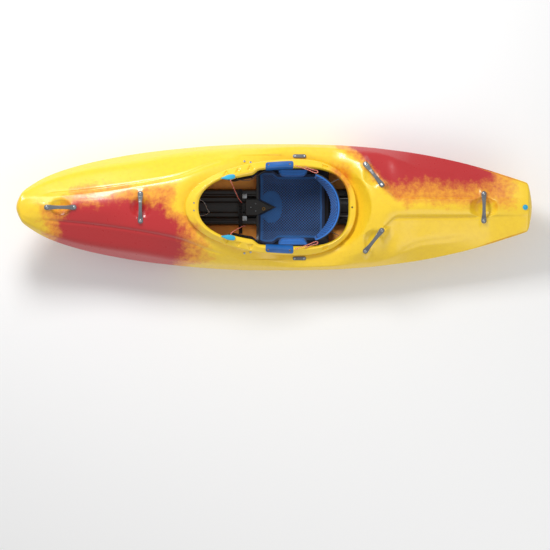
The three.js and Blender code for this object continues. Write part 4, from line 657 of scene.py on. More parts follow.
@dataclass
class Cockpit:
    """The cockpit's plan and rim, by an angle that is 0 aft and half a turn forward.

    The opening and the lip are superellipses about the same middle line: cosine and sine of the angle,
    raised to two over a power, times the half sizes. A share of 0 is the opening's edge, and 1 the lip.
    """

    form: HullForm
    middle: float = 120.0
    front: float = 525.0
    rear: float = 272.0
    half_width: float = 208.0
    front_powers: Point = (2.2, 2.4)
    rear_powers: Point = (2.8, 2.8)
    lip_front: float = 72.0
    lip_rear: float = 42.0
    lip_side: float = 49.0
    lip_powers: tuple = ((2, 2), (2.3, 2.2))
    flange: float = 21.0
    flange_front: float = -275.0
    flange_rear: float = -80.0
    flange_ramp: float = 45.0
    gutter_depth: float = 33.0
    gutter_share: float = 1.1
    gutter_edge: Point = (1.9, 2.8)
    gutter_rise: Point = (20.0, 80.0)
    scoop_shares: Point = (0.11, 0.307)
    nose: float = 28.0
    lip_depth: float = 14.0
    crest_shares: Point = (0.2, 0.35, 0.9)
    wall_shares: Point = (0.45, 0.62)
    shares: Point = (-0.9, -0.4, 0, 0.3, 0.53, 0.8, 1.1, 1.5, 2, 2.8, 3.6, 4.6)

    def __post_init__(self) -> None:
        """Prepare the curves of height, and tables of heading, radius and angle at each share.

        Each table runs once round and one place further at both ends, so that it can be read anywhere.
        """
        self.crest_at = curve_of(CREST, HALF_LENGTH, DEPTH)
        self.lip_at = curve_of(LIP, HALF_LENGTH, DEPTH)
        angles = np.linspace(0, TURN, 1441)[:-1]
        x, y = self.place(angles[None, :], np.array(self.shares)[:, None])
        heading, radius = self.bearing(x, y)
        order = np.argsort(heading, axis=1)
        self.tables = []
        for table, jump in ((heading, TURN), (radius, 0), (np.broadcast_to(angles, heading.shape), TURN)):
            rows = np.take_along_axis(table, order, axis=1)
            self.tables.append(np.column_stack([rows[:, -1] - jump, rows, rows[:, 0] + jump]))

    def bearing(self, x: Array, y: Array) -> Pair:
        """Headings and distances of places from the cockpit's middle."""
        return np.arctan2(y, x - self.middle) % TURN, np.hypot(x - self.middle, y)

    def oval(self, angle: Number, front: float, rear: float, half_width: float, powers: Sequence[Point]) -> Pair:
        """A superellipse whose front and rear halves have their own length and powers.

        Args:
            angle: one or more angles.
            front: length ahead of the middle.
            rear: length behind it.
            half_width: half the width.
            powers: the front half's powers along and across, and the rear half's.

        Returns:
            Places along and across the boat.
        """
        cosine, sine = np.cos(angle), np.sin(angle)
        ahead = cosine < 0
        power_x, power_y = (np.where(ahead, *pair) for pair in zip(*powers))
        return (self.middle + np.where(ahead, front, rear) * bent(cosine, 2 / power_x),
                half_width * bent(sine, 2 / power_y))

    def opening(self, angle: Number) -> Pair:
        """A point of the opening's edge, drawn in at the thigh flanges.

        Args:
            angle: one or more angles.

        Returns:
            Places along and across the boat.
        """
        x, y = self.oval(angle, self.front, self.rear, self.half_width, (self.front_powers, self.rear_powers))
        flange = (smoothstep(x, self.flange_front, self.flange_front + self.flange_ramp)
                  - smoothstep(x, self.flange_rear - self.flange_ramp, self.flange_rear))
        return x, y - np.sign(y) * self.flange * flange

    def lip(self, angle: Number) -> Pair:
        """A point of the lip, where the spraydeck grips."""
        return self.oval(angle, self.front + self.lip_front, self.rear + self.lip_rear,
                         self.half_width + self.lip_side, self.lip_powers)

    def place(self, angle: Number, share: Number) -> Pair:
        """A place across the rim: the opening's edge at share 0 and the lip at 1."""
        inner, outer = self.opening(angle), self.lip(angle)
        return lerp(inner[0], outer[0], share), lerp(inner[1], outer[1], share)

    def angle_at(self, x: Number, share: float) -> Array:
        """The starboard angle at which a share of the rim passes a place along the boat."""
        angles = np.linspace(0, math.pi, 2001)
        return np.interp(-np.asarray(x, float), -self.place(angles, share)[0], angles)

    def levels(self, angle: Number) -> tuple[Array, Array, Array]:
        """Heights of the rim's main lines.

        Args:
            angle: one or more angles.

        Returns:
            The crest, the lip, and the foot of the rim's wall, which is sunk into the deck.
        """
        crest, lip = self.crest_at(self.opening(angle)[0]), self.lip_at(self.lip(angle)[0])
        decks = [self.form.deck(*self.place(angle, share)) for share in self.wall_shares]
        foot = np.minimum(np.minimum(*decks), lip - self.gutter_depth) - 2 * WALL
        return crest, lip, foot

    def locate(self, x: Array, y: Array) -> Pair:
        """The angle and the share of places in plan.

        For each share in the table the radius at the place's heading is known, so the share is read
        between the two radii that the place lies between, and the angle with it.

        Args:
            x: places along the boat.
            y: places across it.

        Returns:
            Angles and shares, which grow by one for each 40 mm past the table.
        """
        heading, radius = self.bearing(x, y)
        radii, angles = (np.array([np.interp(heading, *row) for row in zip(self.tables[0], table)]).T
                         for table in self.tables[1:])
        share = read_rows(radii, np.broadcast_to(self.shares, radii.shape), radius)
        return read_rows(radii, angles, radius), share + np.maximum(radius - radii[:, -1], 0) / 40

    def gutter(self, angle: Array, share: Array) -> Array:
        """Height of the gutter's surface, with the scoop behind the seat.

        Flat to its own share, then rising as a power of the way to its outer edge, and steep beyond.

        Args:
            angle: angles of places.
            share: shares of the same places.

        Returns:
            A height for each place.
        """
        x = self.lip(angle)[0]
        scoop = smoothstep(x, *(part * HALF_LENGTH for part in self.scoop_shares))
        outer, rise = lerp(*self.gutter_edge, scoop), lerp(*self.gutter_rise, scoop)
        bowl = past(share, self.gutter_share, outer) ** lerp(1.0, 1.5, scoop)
        return self.lip_at(x) - self.gutter_depth + 2 + (rise - 2) * bowl + np.maximum(share - outer, 0) * 150

    def section(self, angle: Array) -> Array:
        """Corners of the rim's section.

        Args:
            angle: angles of the sections.

        Returns:
            Points shaped (angles, corners, 3).
        """
        crest, lip, foot = self.levels(angle)
        under, (inner, top, edge), (wall, out) = lip - self.lip_depth, self.crest_shares, self.wall_shares
        corners = [(0, crest - self.nose), (0, crest - self.nose / 2), (inner, crest - 2), (top, crest),
                   (edge, lip + 2), (1, lip - 4), (1, under + 2), (0.93, under), (out, under), (out, foot),
                   (wall, foot), (wall, crest - self.nose)]
        return np.stack([spots(*self.place(angle, share), height) for share, height in corners], axis=1)

    def top(self, angle: Number, share: float) -> Array:
        """Height of the rim's upper face.

        Args:
            angle: one or more angles.
            share: how far across the rim, up to its edge.

        Returns:
            A height for each angle.
        """
        crest, lip, _ = self.levels(np.atleast_1d(angle))
        inner, top, edge = self.crest_shares
        if share < top:
            return lerp(crest - 2, crest, past(share, inner, top))
        return lerp(crest, lip + 2, (share - top) / (edge - top))


@dataclass
class HandlePlace:
    """A grab handle's place on the deck: its own axes, worked out from the deck under its two bolts."""

    form: HullForm
    label: str
    x: float
    y: float
    turn: float
    reach: float = 72.66
    foot: float = 28.0
    boss: float = 2.0
    hollow_radius: float = 58.0
    hollow_depth: float = 22.0
    bowl: tuple = ((0, .25, .45, .6, .75, .88, 1, 1.2, 2.4), (1, .99, .93, .8, .6, .32, 0, -.55, -6))
    pad_half: float = 17.0
    pad_slope: float = 2.2

    def __post_init__(self) -> None:
        """Find the origin, the direction along the handle and the direction up."""
        heading = math.radians(self.turn)
        way = np.array([math.cos(heading), math.sin(heading)])
        ends = np.array([[self.x, self.y] + end * self.reach * way for end in (-1, 1)])
        feet = np.column_stack([ends, self.form.deck(*ends.T)])
        self.along = unit(feet[1] - feet[0])
        self.up = unit(np.cross(self.along, [-way[1], way[0], 0]))
        middle = feet.mean(axis=0)
        offsets = np.array([[end * self.reach + a * self.foot / 2, b * self.foot / 2, 0]
                            for end in (-1, 1) for a in (-1, 1) for b in (-1, 1)])
        corners = place_by_frame(offsets, middle, self.along, self.up)
        corners[:, 2] = self.form.deck(*corners[:, :2].T)
        high = max(0.0, float(((corners - middle) @ self.up).max()))
        self.origin = middle + self.up * (high + self.boss)

    def plane(self, x: Array, y: Array) -> tuple[Array, Array, Array]:
        """The handle's base plane over places in plan.

        Args:
            x: places along the boat.
            y: places across it.

        Returns:
            The plane's height, and the places' own coordinates along and across the handle.
        """
        dx, dy = x - self.origin[0], y - self.origin[1]
        rise = -(self.up[0] * dx + self.up[1] * dy) / self.up[2]
        offset = np.stack([dx, dy, rise], axis=-1)
        return self.origin[2] + rise, offset @ self.along, offset @ np.cross(self.up, self.along)

    def hollow(self, x: Array, y: Array) -> Array:
        """Height of the hollow under the handle: a curve of depth over the distance from its middle."""
        height, u, v = self.plane(x, y)
        return height - self.hollow_depth * np.interp(np.hypot(u, v) / self.hollow_radius, *self.bowl) / self.up[2]

    def pads(self, x: Array, y: Array) -> Array:
        """Height of the moulded pads under the feet: flat squares with steep sides."""
        height, u, v = self.plane(x, y)
        return height - self.pad_slope * np.maximum(
            0, np.maximum(np.abs(np.abs(u) - self.reach), np.abs(v)) - self.pad_half)


def linear(code: str) -> tuple[float, ...]:
    """A colour written as six hexadecimal digits, as linear red, green, blue and alpha."""
    parts = [int(code[i:i + 2], 16) / 255 for i in (0, 2, 4)]
    return (*(p / 12.92 if p <= 0.04045 else ((p + 0.055) / 1.055) ** 2.4 for p in parts), 1.0)


def operator(operation: str, first: bool = True) -> Callable[..., "Signal"]:
    """A method of Signal that adds one Math node.

    Args:
        operation: the node's operation.
        first: whether the signal itself comes first.

    Returns:
        The method.
    """
    def method(self: "Signal", *others: "Signal | float") -> "Signal":
        """The operation on this signal and others or numbers."""
        values = (self, *others) if first else (*others, self)
        return self.board.node("ShaderNodeMath", {"operation": operation}, dict(enumerate(values)))
    return method


class Signal:
    """One output of a material's node, with arithmetic on it."""

    def __init__(self, board: "Board", socket: bpy.types.NodeSocket) -> None:
        """Keep the socket and the board it belongs to."""
        self.board, self.socket = board, socket

    __add__ = __radd__ = operator("ADD")
    __mul__ = __rmul__ = operator("MULTIPLY")
    __sub__, __rsub__ = operator("SUBTRACT"), operator("SUBTRACT", first=False)
    __truediv__, __abs__ = operator("DIVIDE"), operator("ABSOLUTE")
    most, least = operator("MAXIMUM"), operator("MINIMUM")
    sine, arctangent = operator("SINE"), operator("ARCTAN2")

    def rise(self, low: float, high: float) -> "Signal":
        """A smooth step from 0 at low to 1 at high."""
        return self.board.node("ShaderNodeMapRange", {"interpolation_type": "SMOOTHSTEP"},
                               {"Value": self, "From Min": low, "From Max": high})

    def between(self, low: float, high: float, soft: float) -> "Signal":
        """1 from low to high and 0 outside, with soft ends."""
        return self.rise(low - soft, low + soft) * (1 - self.rise(high - soft, high + soft))

    def spot(self, middle: float, half: float) -> "Signal":
        """1 near a middle and 0 beyond about twice the half width from it."""
        return 1 - abs(self - middle).rise(half * 0.4, half * 1.6)

    def stripes(self, pitch: float) -> "Signal":
        """A sine wave of the given pitch, from -1 to 1."""
        return (self * (TURN / pitch)).sine()


class Board:
    """A material and its nodes."""

    def __init__(self, name: str) -> None:
        """Start a material with its own shader and output.

        Args:
            name: the material's name.
        """
        self.material = bpy.data.materials.new(name)
        self.material.use_nodes = True
        self.tree = self.material.node_tree
        self.shader = next(n for n in self.tree.nodes if n.type == "BSDF_PRINCIPLED")

    def node(self, kind: str, settings: dict | None = None, inputs: dict | None = None,
             out: int | str = 0) -> Signal:
        """Add any node.

        Args:
            kind: the node's type.
            settings: its properties, set before its inputs.
            inputs: signals or plain values by the name or number of an input.
            out: the output to return.

        Returns:
            The chosen output as a signal.
        """
        made = self.tree.nodes.new(kind)
        for key, value in (settings or {}).items():
            setattr(made, key, value)
        for key, value in (inputs or {}).items():
            self.feed(made.inputs[key], value)
        return Signal(self, made.outputs[out])

    def feed(self, socket: bpy.types.NodeSocket, value: Signal | float | Point) -> None:
        """Link a signal to an input, or set a plain value on it."""
        if isinstance(value, Signal):
            self.tree.links.new(value.socket, socket)
        else:
            socket.default_value = value

    def place(self) -> Signal:
        """The place on the piece, in metres."""
        return self.node("ShaderNodeTexCoord", out="Object")

    def mark(self) -> Signal:
        """The values that the piece's points carry."""
        return self.node("ShaderNodeAttribute", {"attribute_name": "mark"}, out="Vector")

    def axes(self, vector: Signal) -> tuple[Signal, ...]:
        """The three parts of a vector."""
        outputs = self.node("ShaderNodeSeparateXYZ", inputs={0: vector}).socket.node.outputs
        return tuple(Signal(self, outputs[i]) for i in range(3))

    def noise(self, scale: float, detail: float = 2.0, rough: float = 0.5) -> Signal:
        """A noise from 0 to 1 over the place on the piece."""
        return self.node("ShaderNodeTexNoise", inputs={"Vector": self.place(), "Scale": scale,
                                                      "Detail": detail, "Roughness": rough})

    def mix(self, share: Signal, first: Signal | Point, second: Signal | Point) -> Signal:
        """A mix of two colours."""
        return self.node("ShaderNodeMix", {"data_type": "RGBA"}, {0: share, 6: first, 7: second}, out=2)

    def bump(self, height: Signal, distance: float) -> None:
        """Feed a height in metres per unit into the shader's normal."""
        self.set(Normal=self.node("ShaderNodeBump", inputs={"Height": height, "Distance": distance,
                                                            "Strength": 1.0}))

    def set(self, **values: Signal | float | Point) -> None:
        """Set the shader's inputs by name, with underscores for blanks."""
        for key, value in values.items():
            self.feed(self.shader.inputs[key.replace("_", " ")], value)


@dataclass(frozen=True)
class Finish:
    """A surface: its colour, how rough it is, how far that spreads, and the depth and fineness of its grain.

    The slot, the record's name for the material where it isn't the finish's own, is not used.
    """

    name: str
    colour: str
    roughness: float = 0.5
    spread: float = 0.08
    grain: float = 0.0002
    grain_scale: float = 900.0
    slot: str = ""

    def material(self) -> bpy.types.Material:
        """The material of this surface."""
        self.paint(board := Board(self.name))
        return board.material

    def worn(self, board: Board) -> Signal:
        """The colour with faint broad patches, a little darker and lighter."""
        dark = board.node("ShaderNodeHueSaturation", inputs={"Value": 0.82, "Color": linear(self.colour)})
        return board.mix(board.noise(14.0, 3.0).rise(0.3, 0.75), linear(self.colour), dark)

    def paint(self, board: Board) -> None:
        """A moulded surface with a fine grain.

        Args:
            board: the material to fill.
        """
        patches = board.noise(30.0, 4.0)
        board.set(Base_Color=self.worn(board), Roughness=patches * self.spread + (self.roughness - self.spread / 2))
        board.bump(board.noise(self.grain_scale), self.grain)


@dataclass(frozen=True)
class Metal(Finish):
    """A metal surface, with fine turning lines."""

    def paint(self, board: Board) -> None:
        """Bare metal.

        Args:
            board: the material to fill.
        """
        patches = board.noise(180.0, 4.0)
        board.set(Base_Color=linear(self.colour), Metallic=1.0,
                  Roughness=patches * self.spread + (self.roughness - self.spread / 2))
        board.bump(board.noise(self.grain_scale, 3.0), self.grain)


@dataclass(frozen=True)
class Swirl(Finish):
    """The hull's plastic: yellow and red that run into each other through orange."""

    red: str = "B9262A"
    orange: str = "F0A42C"
    brown: str = "DD812C"

    def heat(self, board: Board) -> Signal:
        """How red the plastic is, from 0 to 1.

        Red covers the port half of the bow and the starboard half of the stern. How deep in a field a place
        lies is the least of its distances from the field's edges, each over a width. The bow's rear edge
        slants across the port side and is sharper on the sides, its inner edge runs beside the middle line,
        and its front edge behind the nose. Broad noise moves the edges, and finer noise mottles them.
        There are small spots on the keel and the rim.

        Args:
            board: the hull's material.

        Returns:
            A signal over the surface.
        """
        x, y, z = board.axes(board.place())
        broad = board.noise(3.4, 5.0, 0.62) - 0.5
        fine = board.noise(24.0, 8.0, 0.72) - 0.5
        drift = broad * 0.16 + fine * 0.05
        low = 1 - z.rise(0.2, 0.31)
        rear = (y * -1).rise(0.0, 0.12) * 0.1 - 0.59 - x - low * 0.04
        width = ((y * -1).most(0.0) * 0.55 + 0.09) * (1 - low * 0.75)
        inner = 0.035 - x.between(-1.6, -1.1, 0.1) * 0.1 - y
        bow = ((rear + drift) / width).least((inner + drift) / 0.13).least((x + drift + 1.17) / 0.13)
        front = ((x - (0.32 - y) * 1.1 - 0.40 + drift) / 0.1).least((y - 0.13 + drift) / 0.19)
        fields = bow.most(front.least((1.17 - x + drift) / 0.16))
        keel = (1 - z.rise(0.045, 0.085)) * (1 - y.rise(-0.2, -0.1)) * (x.spot(0.36, 0.04) + x.spot(0.475, 0.045))
        rim = x.spot(0.345, 0.05) * y.spot(0.13, 0.09)
        return ((fields + 0.78 + fine * 0.75).most(rim * (fine * 1.5 + 0.45))
                .most(keel * (fine * 2.0 + 0.62)))

    def paint(self, board: Board) -> None:
        """Glossy plastic in the three colours, with fine scuffs.

        Args:
            board: the material to fill.
        """
        heat = self.heat(board)
        cloud = board.mix(board.noise(38.0, 6.0, 0.7).rise(0.38, 0.66), linear(self.orange), linear(self.brown))
        warm = board.mix(heat.rise(-0.25, 0.5), linear(self.colour), cloud)
        scuffs = board.noise(60.0, 8.0, 0.75)
        board.set(Base_Color=board.mix(heat.rise(0.48, 1.02), warm, linear(self.red)), Coat_Weight=0.35,
                  Coat_Roughness=0.12, Roughness=scuffs * 0.25 + (self.roughness - 0.1))
        board.bump(board.noise(420.0, 3.0) + board.noise(9.0) * 2.0, self.grain)


@dataclass(frozen=True)
class Padding(Finish):
    """A soft padded surface, with dots that its points' marks place, and a darker colour where the third mark is high:
    at the edges, and in the backband pad's channels as painted shade.
    """

    dot: str = "22101A"
    pitch: float = 0.0
    edge: str = "16294A"

    def paint(self, board: Board) -> None:
        """A matt surface with a fine fabric grain, and dots on a slanting grid where a pitch is given.

        Args:
            board: the material to fill.
        """
        across, along, rim = board.axes(board.mark())
        colour = self.worn(board)
        weave = board.noise(self.grain_scale)
        height = weave
        if self.pitch:
            dots = (across.stripes(self.pitch) * along.stripes(self.pitch)).rise(-0.12, 0.18)
            dots = dots * (1 - rim.rise(0.62, 0.85))
            colour, height = board.mix(dots, colour, linear(self.dot)), weave - dots * 2.0
        # The edge colour darkens the pad's edges, and is also put in the backband pad's channels as painted shade.
        board.set(Base_Color=board.mix(rim.rise(0.86, 0.97), colour, linear(self.edge)),
                  Roughness=weave * 0.15 + (self.roughness - 0.08), Sheen_Weight=0.15)
        board.bump(height, self.grain)


@dataclass(frozen=True)
class Twisted(Finish):
    """A cord or a strap: strands that wind round it, by the turn and the distance its points carry."""

    fleck: str = "EFE2CC"
    share: float = 0.35
    lay: float = 0.012
    flat: bool = False

    def paint(self, board: Board) -> None:
        """Strands of one colour, and some of another.

        Args:
            board: the material to fill.
        """
        cosine, sine, far = board.axes(board.mark())
        if self.flat:
            winding = far.stripes(self.lay) * cosine.stripes(self.lay)
        else:
            winding = (sine.arctangent(cosine) * 2.0 + far * (TURN / self.lay)).sine()
        second = winding.rise(1 - 2 * self.share, 1.25 - 2 * self.share)
        fibres = board.noise(self.grain_scale, 3.0)
        board.set(Base_Color=board.mix(second, linear(self.colour), linear(self.fleck)),
                  Roughness=fibres * 0.2 + (self.roughness - 0.1))
        board.bump(winding + fibres * 0.6, self.grain)


class Look(Enum):
    """The surfaces of the boat."""

    HULL = Swirl("hull_plastic", "FADC2C", 0.28, grain=0.0003)
    # The hull's inner faces: the same plastic as the hull, given a darker orange as painted shade.
    INSIDE = Finish("hull_inside", "F4A232", 0.5, grain_scale=500.0)
    BLACK = Finish("outfitting_plastic", "211E1C", 0.38)
    GREY = Finish("handle_plastic", "6C6E71", 0.26)
    BLUE = Finish("thigh_plastic", "1C63AE", 0.36, slot="blue_plastic")
    TOGGLE = Finish("toggle_plastic", "38B4DA", 0.34)
    STEEL = Metal("bolt_steel", "A9ADB0", 0.3, grain=0.0001)
    BRASS = Metal("brass", "94713A", 0.35, grain=0.0001, slot="bolt_steel")
    FOAM = Finish("foam", "35322E", 0.92, grain=0.0008, grain_scale=320.0)
    SEAT = Padding("seat_fabric", "2660A0", 0.75, pitch=15.0, grain=0.0005)
    BAND = Padding("band_fabric", "2070C8", 0.66, edge="0E3C7A")
    RED = Twisted("red_cord", "E4301E", 0.7, share=0.24, lay=10.0, grain=0.0004)
    DARK = Twisted("dark_cord", "1D1C1C", 0.8, fleck="383634", share=0.3, lay=6.0, grain=0.0004)
    THIN = Twisted("bungee_cord", "4A4A4C", 0.75, fleck="77777A", share=0.3, lay=5.0, grain=0.0003,
                   slot="dark_cord")
    WHITE = Twisted("white_cord", "E6E3DA", 0.8, fleck="C9C4B6", share=0.3, lay=6.0, grain=0.0004)
    WEBBING = Twisted("webbing", "1B1A1A", 0.85, fleck="2F2D2C", lay=1.9, flat=True, grain=0.0003,
                      slot="dark_cord")


class Workshop:
    """Turns skins into pieces: welds, shades and dresses them, and notes each one in the log."""

    def __init__(self) -> None:
        """Make the materials."""
        self.materials = {look: look.value.material() for look in Look}
        self.count = 0

    def mesh(self, name: str, skin: Skin, sharp: float) -> bpy.types.Mesh:
        """A welded mesh with its faces outward.

        Args:
            name: the mesh's name.
            skin: its surface in millimetres.
            sharp: the angle in degrees from which an edge is drawn sharp.

        Returns:
            The mesh, in metres.
        """
        mesh = bpy.data.meshes.new(name)
        mesh.from_pydata(np.concatenate(skin.points) * MM, [], skin.faces)
        marks = mesh.attributes.new("mark", "FLOAT_VECTOR", "POINT")
        marks.data.foreach_set("vector", np.concatenate(skin.marks).astype(np.float32).ravel())
        welded = bmesh.new()
        welded.from_mesh(mesh)
        bmesh.ops.remove_doubles(welded, verts=welded.verts, dist=WELD)
        bmesh.ops.recalc_face_normals(welded, faces=welded.faces)
        loose = [point for point in welded.verts if not point.link_faces]
        bmesh.ops.delete(welded, geom=loose, context="VERTS")
        welded.to_mesh(mesh)
        welded.free()
        mesh.polygons.foreach_set("use_smooth", np.ones(len(mesh.polygons), bool))
        mesh.set_sharp_from_angle(angle=math.radians(sharp))
        mesh.update()
        return mesh

    def piece(self, name: str, skin: Skin, look: Look, body: str | None = "boat", node: str = "",
              slot: str = "", sharp: float = 38.0) -> bpy.types.Object:
        """Make a piece.

        Args:
            name: the piece's name.
            skin: its surface in millimetres.
            look: its finish.
            body: the body it moves with, or None for a cord tied between two, which is left unattached.
            node: the CAD node it stands for, if any.
            slot: the record's material slot, where it isn't the finish's own; not used.
            sharp: the angle in degrees from which an edge is drawn sharp.

        Returns:
            The new object.
        """
        piece = bpy.data.objects.new(name, self.mesh(name, skin, sharp))
        bpy.context.collection.objects.link(piece)
        piece.data.materials.append(self.materials[look])
        if body:
            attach(piece, body)
        if node:
            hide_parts(node)
        self.count += 1
        LOG.info("%s: %d faces", name, len(piece.data.polygons))
        return piece

    def dress(self, node: str, skin: Skin, look: Look, body: str | None = "boat",
              sharp: float = 38.0) -> bpy.types.Object:
        """Make the piece that stands for a CAD node, under the node's name with "dressed" after it."""
        return self.piece(f"{node}_dressed", skin, look, body, node, sharp=sharp)

    def keep(self, node: str, look: Look) -> None:
        """Dress a CAD node that stays as it is.

        Args:
            node: the node.
            look: its finish.
        """
        found = bpy.data.objects[node]
        found.data.materials.clear()
        found.data.materials.append(self.materials[look])
        LOG.info("%s: kept", node)


@dataclass
class Bolts:
    """Bolts with a domed head and a hexagon socket."""

    shop: Workshop
    radius: float = 3.0
    head: float = 8.0
    high: float = 4.5
    socket: float = 5.0
    sides: int = 36

    def one(self, name: str, origin: Point, up: Point, length: float, look: Look = Look.STEEL,
            head: float | None = None, along: Point = (1, 0, 0), own: bool = True) -> None:
        """A bolt whose head sits on a place, with its shank the other way.

        Args:
            name: the bolt's name.
            origin: the place under the middle of its head.
            up: the way its head points.
            length: its shank's length.
            look: its finish.
            head: its head's radius, where it isn't the usual one.
            along: the way that one flat of its socket faces.
            own: whether it stands for a CAD node of the same name.
        """
        wide, hexagon, thin = head or self.head, self.socket / math.sqrt(3), self.radius * 0.7
        high = self.high * wide / self.head
        profile = [(0, -length), (thin, -length), (self.radius, 1 - length), (self.radius, 0), (wide * 0.94, 0),
                   (wide, 0.4), (wide, high * 0.45), (wide * 0.93, high * 0.75), (wide * 0.72, high * 0.96),
                   (hexagon * 1.3, high), (hexagon, high - 0.3), (hexagon, high - 2.4), (0, high - 2.9)]
        form = lathe(profile, self.sides, [0.0] * 10 + [1, 1, 0], self.socket)
        skin = Skin().grid(place_by_frame(form, origin, along, up))
        self.shop.piece(f"{name}_dressed", skin, look, node=name if own else "", slot="bolt_steel")


@dataclass
class Hull:
    """The moulded hull with its deck, gutter, hollows and cockpit rim."""

    form: HullForm
    cockpit: Cockpit
    places: Sequence[HandlePlace]
    shop: Workshop
    bolts: Bolts
    bends: tuple = (4, 3, 3, 3, 7, 9, 5, 3)
    runs: tuple = (2, 1, 2, 1, 2, 3, 3, 29)
    tip_step: float = 4.5
    close: float = 7.5
    wide: float = 16.0
    worked: tuple = ((-1215, -1055), (-800, -640), (-480, 600), (1035, 1195))
    cut: float = 0.53
    gutter_fillet: float = 12.0
    hollow_reach: float = 150.0
    fillets: Point = (3.5, 3.0, 2.0)
    plug_seat: float = 19.0
    pocket: Point = (-76.0, 262.0, 124.0, 17.0, 5.0)
    creases: tuple = ((Corner.VALLEY, 5.0, 8.0, -1230, -250), (Corner.VALLEY, 4.5, 8.0, 600, 1110),
                      (Corner.SHOULDER, 3.5, 10.0, 640, 1010))
    rim_sections: int = 540
    rim_round: float = 4.5
    face_points: int = 7
    dimples: tuple = ((-259.0, 0.62, 9.0, 7.0, 3), (-195.0, 0.6, 8.5, 7.0, 3), (-131.0, 0.6, 9.5, 7.0, 3),
                      (268.0, 0.5, 8.0, 8.0, 4))
    screws: tuple = (("bow_starboard", -429.0, 23.5, Look.STEEL), ("bow_port", -429.0, -16.5, Look.STEEL),
                     ("stern", 411.6, 0.0, Look.BLACK))
    pillar_half: float = 33.0
    window: Point = (52.0, 40.0, 9.0)
    pillars: tuple = (("front_pillar", -1176.0, -864.0, (0.5,)), ("rear_pillar", 472.0, 1094.0, (0.28, 0.66)))

    def rows(self) -> Array:
        """Marks of the rows, close together where the deck is worked and at the tips.

        The wished count of rows for each millimetre is summed along the boat, and the rows are placed at
        even steps of that sum.

        Returns:
            Rising marks.
        """
        x, marks = self.form.fine_x, self.form.fine_marks
        fine = sum(smoothstep(x, a - 10, a) * (1 - smoothstep(x, b, b + 10)) for a, b in self.worked)
        tips = smoothstep(np.abs(x), 1300, 1345)
        spacing = np.minimum(lerp(self.wide, self.close, np.clip(fine, 0, 1)), lerp(self.wide, self.tip_step, tips))
        total = np.concatenate([[0], np.cumsum(np.diff(marks) / spacing[1:])])
        return np.interp(np.linspace(0, total[-1], int(total[-1])), total, marks)

    def top(self, x: Array, y: Array, z: Array) -> Array:
        """Work the gutter, the hollows, the pads, the pockets and the creases into the deck.

        Each is a surface of its own, and the lower of it and the deck holds, with a fillet between them. A
        pad is the higher of the two. A crease is a bell across a line of corners, faded in and out along the
        boat, and it ends at the gutter.

        Args:
            x: places along the boat.
            y: places across it.
            z: the bare deck's heights there.

        Returns:
            The heights of the worked deck.
        """
        angle, share = self.cockpit.locate(x, y)
        corners = self.form.corners_at(self.form.mark_at(x))
        crease = sum(deep * bell(np.abs(y) - corners[:, row, 0], wide) * smoothstep(x, first, first + 60)
                     * (1 - smoothstep(x, last - 60, last)) for row, deep, wide, first, last in self.creases)
        z = smooth_min(z, self.cockpit.gutter(angle, share), self.gutter_fillet) - crease * smoothstep(share, 1.2, 1.8)
        hollow_fillet, pad_fillet, plug_fillet = self.fillets
        for place in self.places:
            near = np.hypot(x - place.origin[0], y - place.origin[1]) < self.hollow_reach
            lowered = smooth_min(z[near], place.hollow(x[near], y[near]), hollow_fillet)
            z[near] = smooth_max(lowered, place.pads(x[near], y[near]), pad_fillet)
        middle, out, half, high, depth = self.pocket
        level = np.abs(np.abs(y) - out - 0.02 * (x - middle))
        oval = (np.abs((x - middle) / half) ** 4 + (level / high) ** 4) ** 0.25
        z = z - depth * smoothstep(1.15 - oval, 0, 0.3)
        far = np.hypot(x - PLUG_PLACE[0], y - PLUG_PLACE[1])
        return smooth_min(z, PLUG_PLACE[2] + np.maximum(far - self.plug_seat, 0) * 2.5, plug_fillet)

    def shell(self) -> None:
        """The hull: sections joined along the boat, open inside the rim, and 6 mm thick.

        Points of the deck that lie inside the opening and belong to a face that crosses its edge are moved
        out to the edge, and faces wholly inside it are left out.
        """
        marks = self.rows()
        half = self.form.section(marks, self.bends, self.runs)
        starboard = spots(self.form.x_at(marks)[:, None], half[..., 0], half[..., 1])
        ring = np.concatenate([starboard, starboard[:, -2:0:-1] * [1, -1, 1]], axis=1)
        count, deck_from = half.shape[1], 1 + sum(self.bends[:Corner.SHOULDER]) + sum(self.runs[:Corner.SHOULDER])
        order = np.concatenate([np.arange(count), np.arange(count - 2, 0, -1)])
        deck = np.broadcast_to(order >= deck_from, ring.shape[:2])
        x, y, z = ring[deck].T.copy()
        angle, share = self.cockpit.locate(x, y)
        inside = np.zeros(deck.shape, bool)
        inside[deck] = share < self.cut
        quads = grid_quads(*deck.shape)
        quads = quads[~inside.ravel()[quads].all(axis=1)]
        used = np.zeros(deck.shape, bool)
        used.ravel()[quads] = True
        moved = (used & inside)[deck]
        x[moved], y[moved] = self.cockpit.place(angle[moved], self.cut)
        z[moved] = self.form.deck(x[moved], y[moved])
        ring[deck] = np.stack([x, y, self.top(x, y, z)], axis=-1)
        hull = self.shop.piece("hull", Skin().add(ring, [quads]), Look.HULL, node="hull_shell", sharp=50)
        # The wall's inner faces and its cut edge take the darker orange copy of the plastic, as painted shade.
        hull.data.materials.append(self.shop.materials[Look.INSIDE])
        wall = hull.modifiers.new("wall", "SOLIDIFY")
        wall.thickness, wall.offset = WALL * MM, -1
        wall.material_offset, wall.material_offset_rim = 1, 1

    def press(self, section: Array, upper: Array) -> None:
        """Press the dimples and slots into the rim's upper face.

        A dimple is a triangle: the greatest of three slanting distances. A slot is a slanting box.

        Args:
            section: the rim's points, whose heights are lowered.
            upper: whether each belongs to the upper face.
        """
        for middle, share, size, depth, edges in self.dimples:
            u = section[..., 0] - middle
            across = float(self.cockpit.place(self.cockpit.angle_at(middle, share), share)[1])
            v = np.abs(section[..., 1]) - across
            triangle = np.maximum(-v, v * 0.5 + np.abs(u) * 0.87)
            slot = np.maximum(np.abs(v + 0.35 * u), np.abs(u) / 1.7)
            form = (triangle if edges == 3 else slot) / size
            section[..., 2] -= depth * smoothstep(1.25 - form, 0, 0.5) * upper

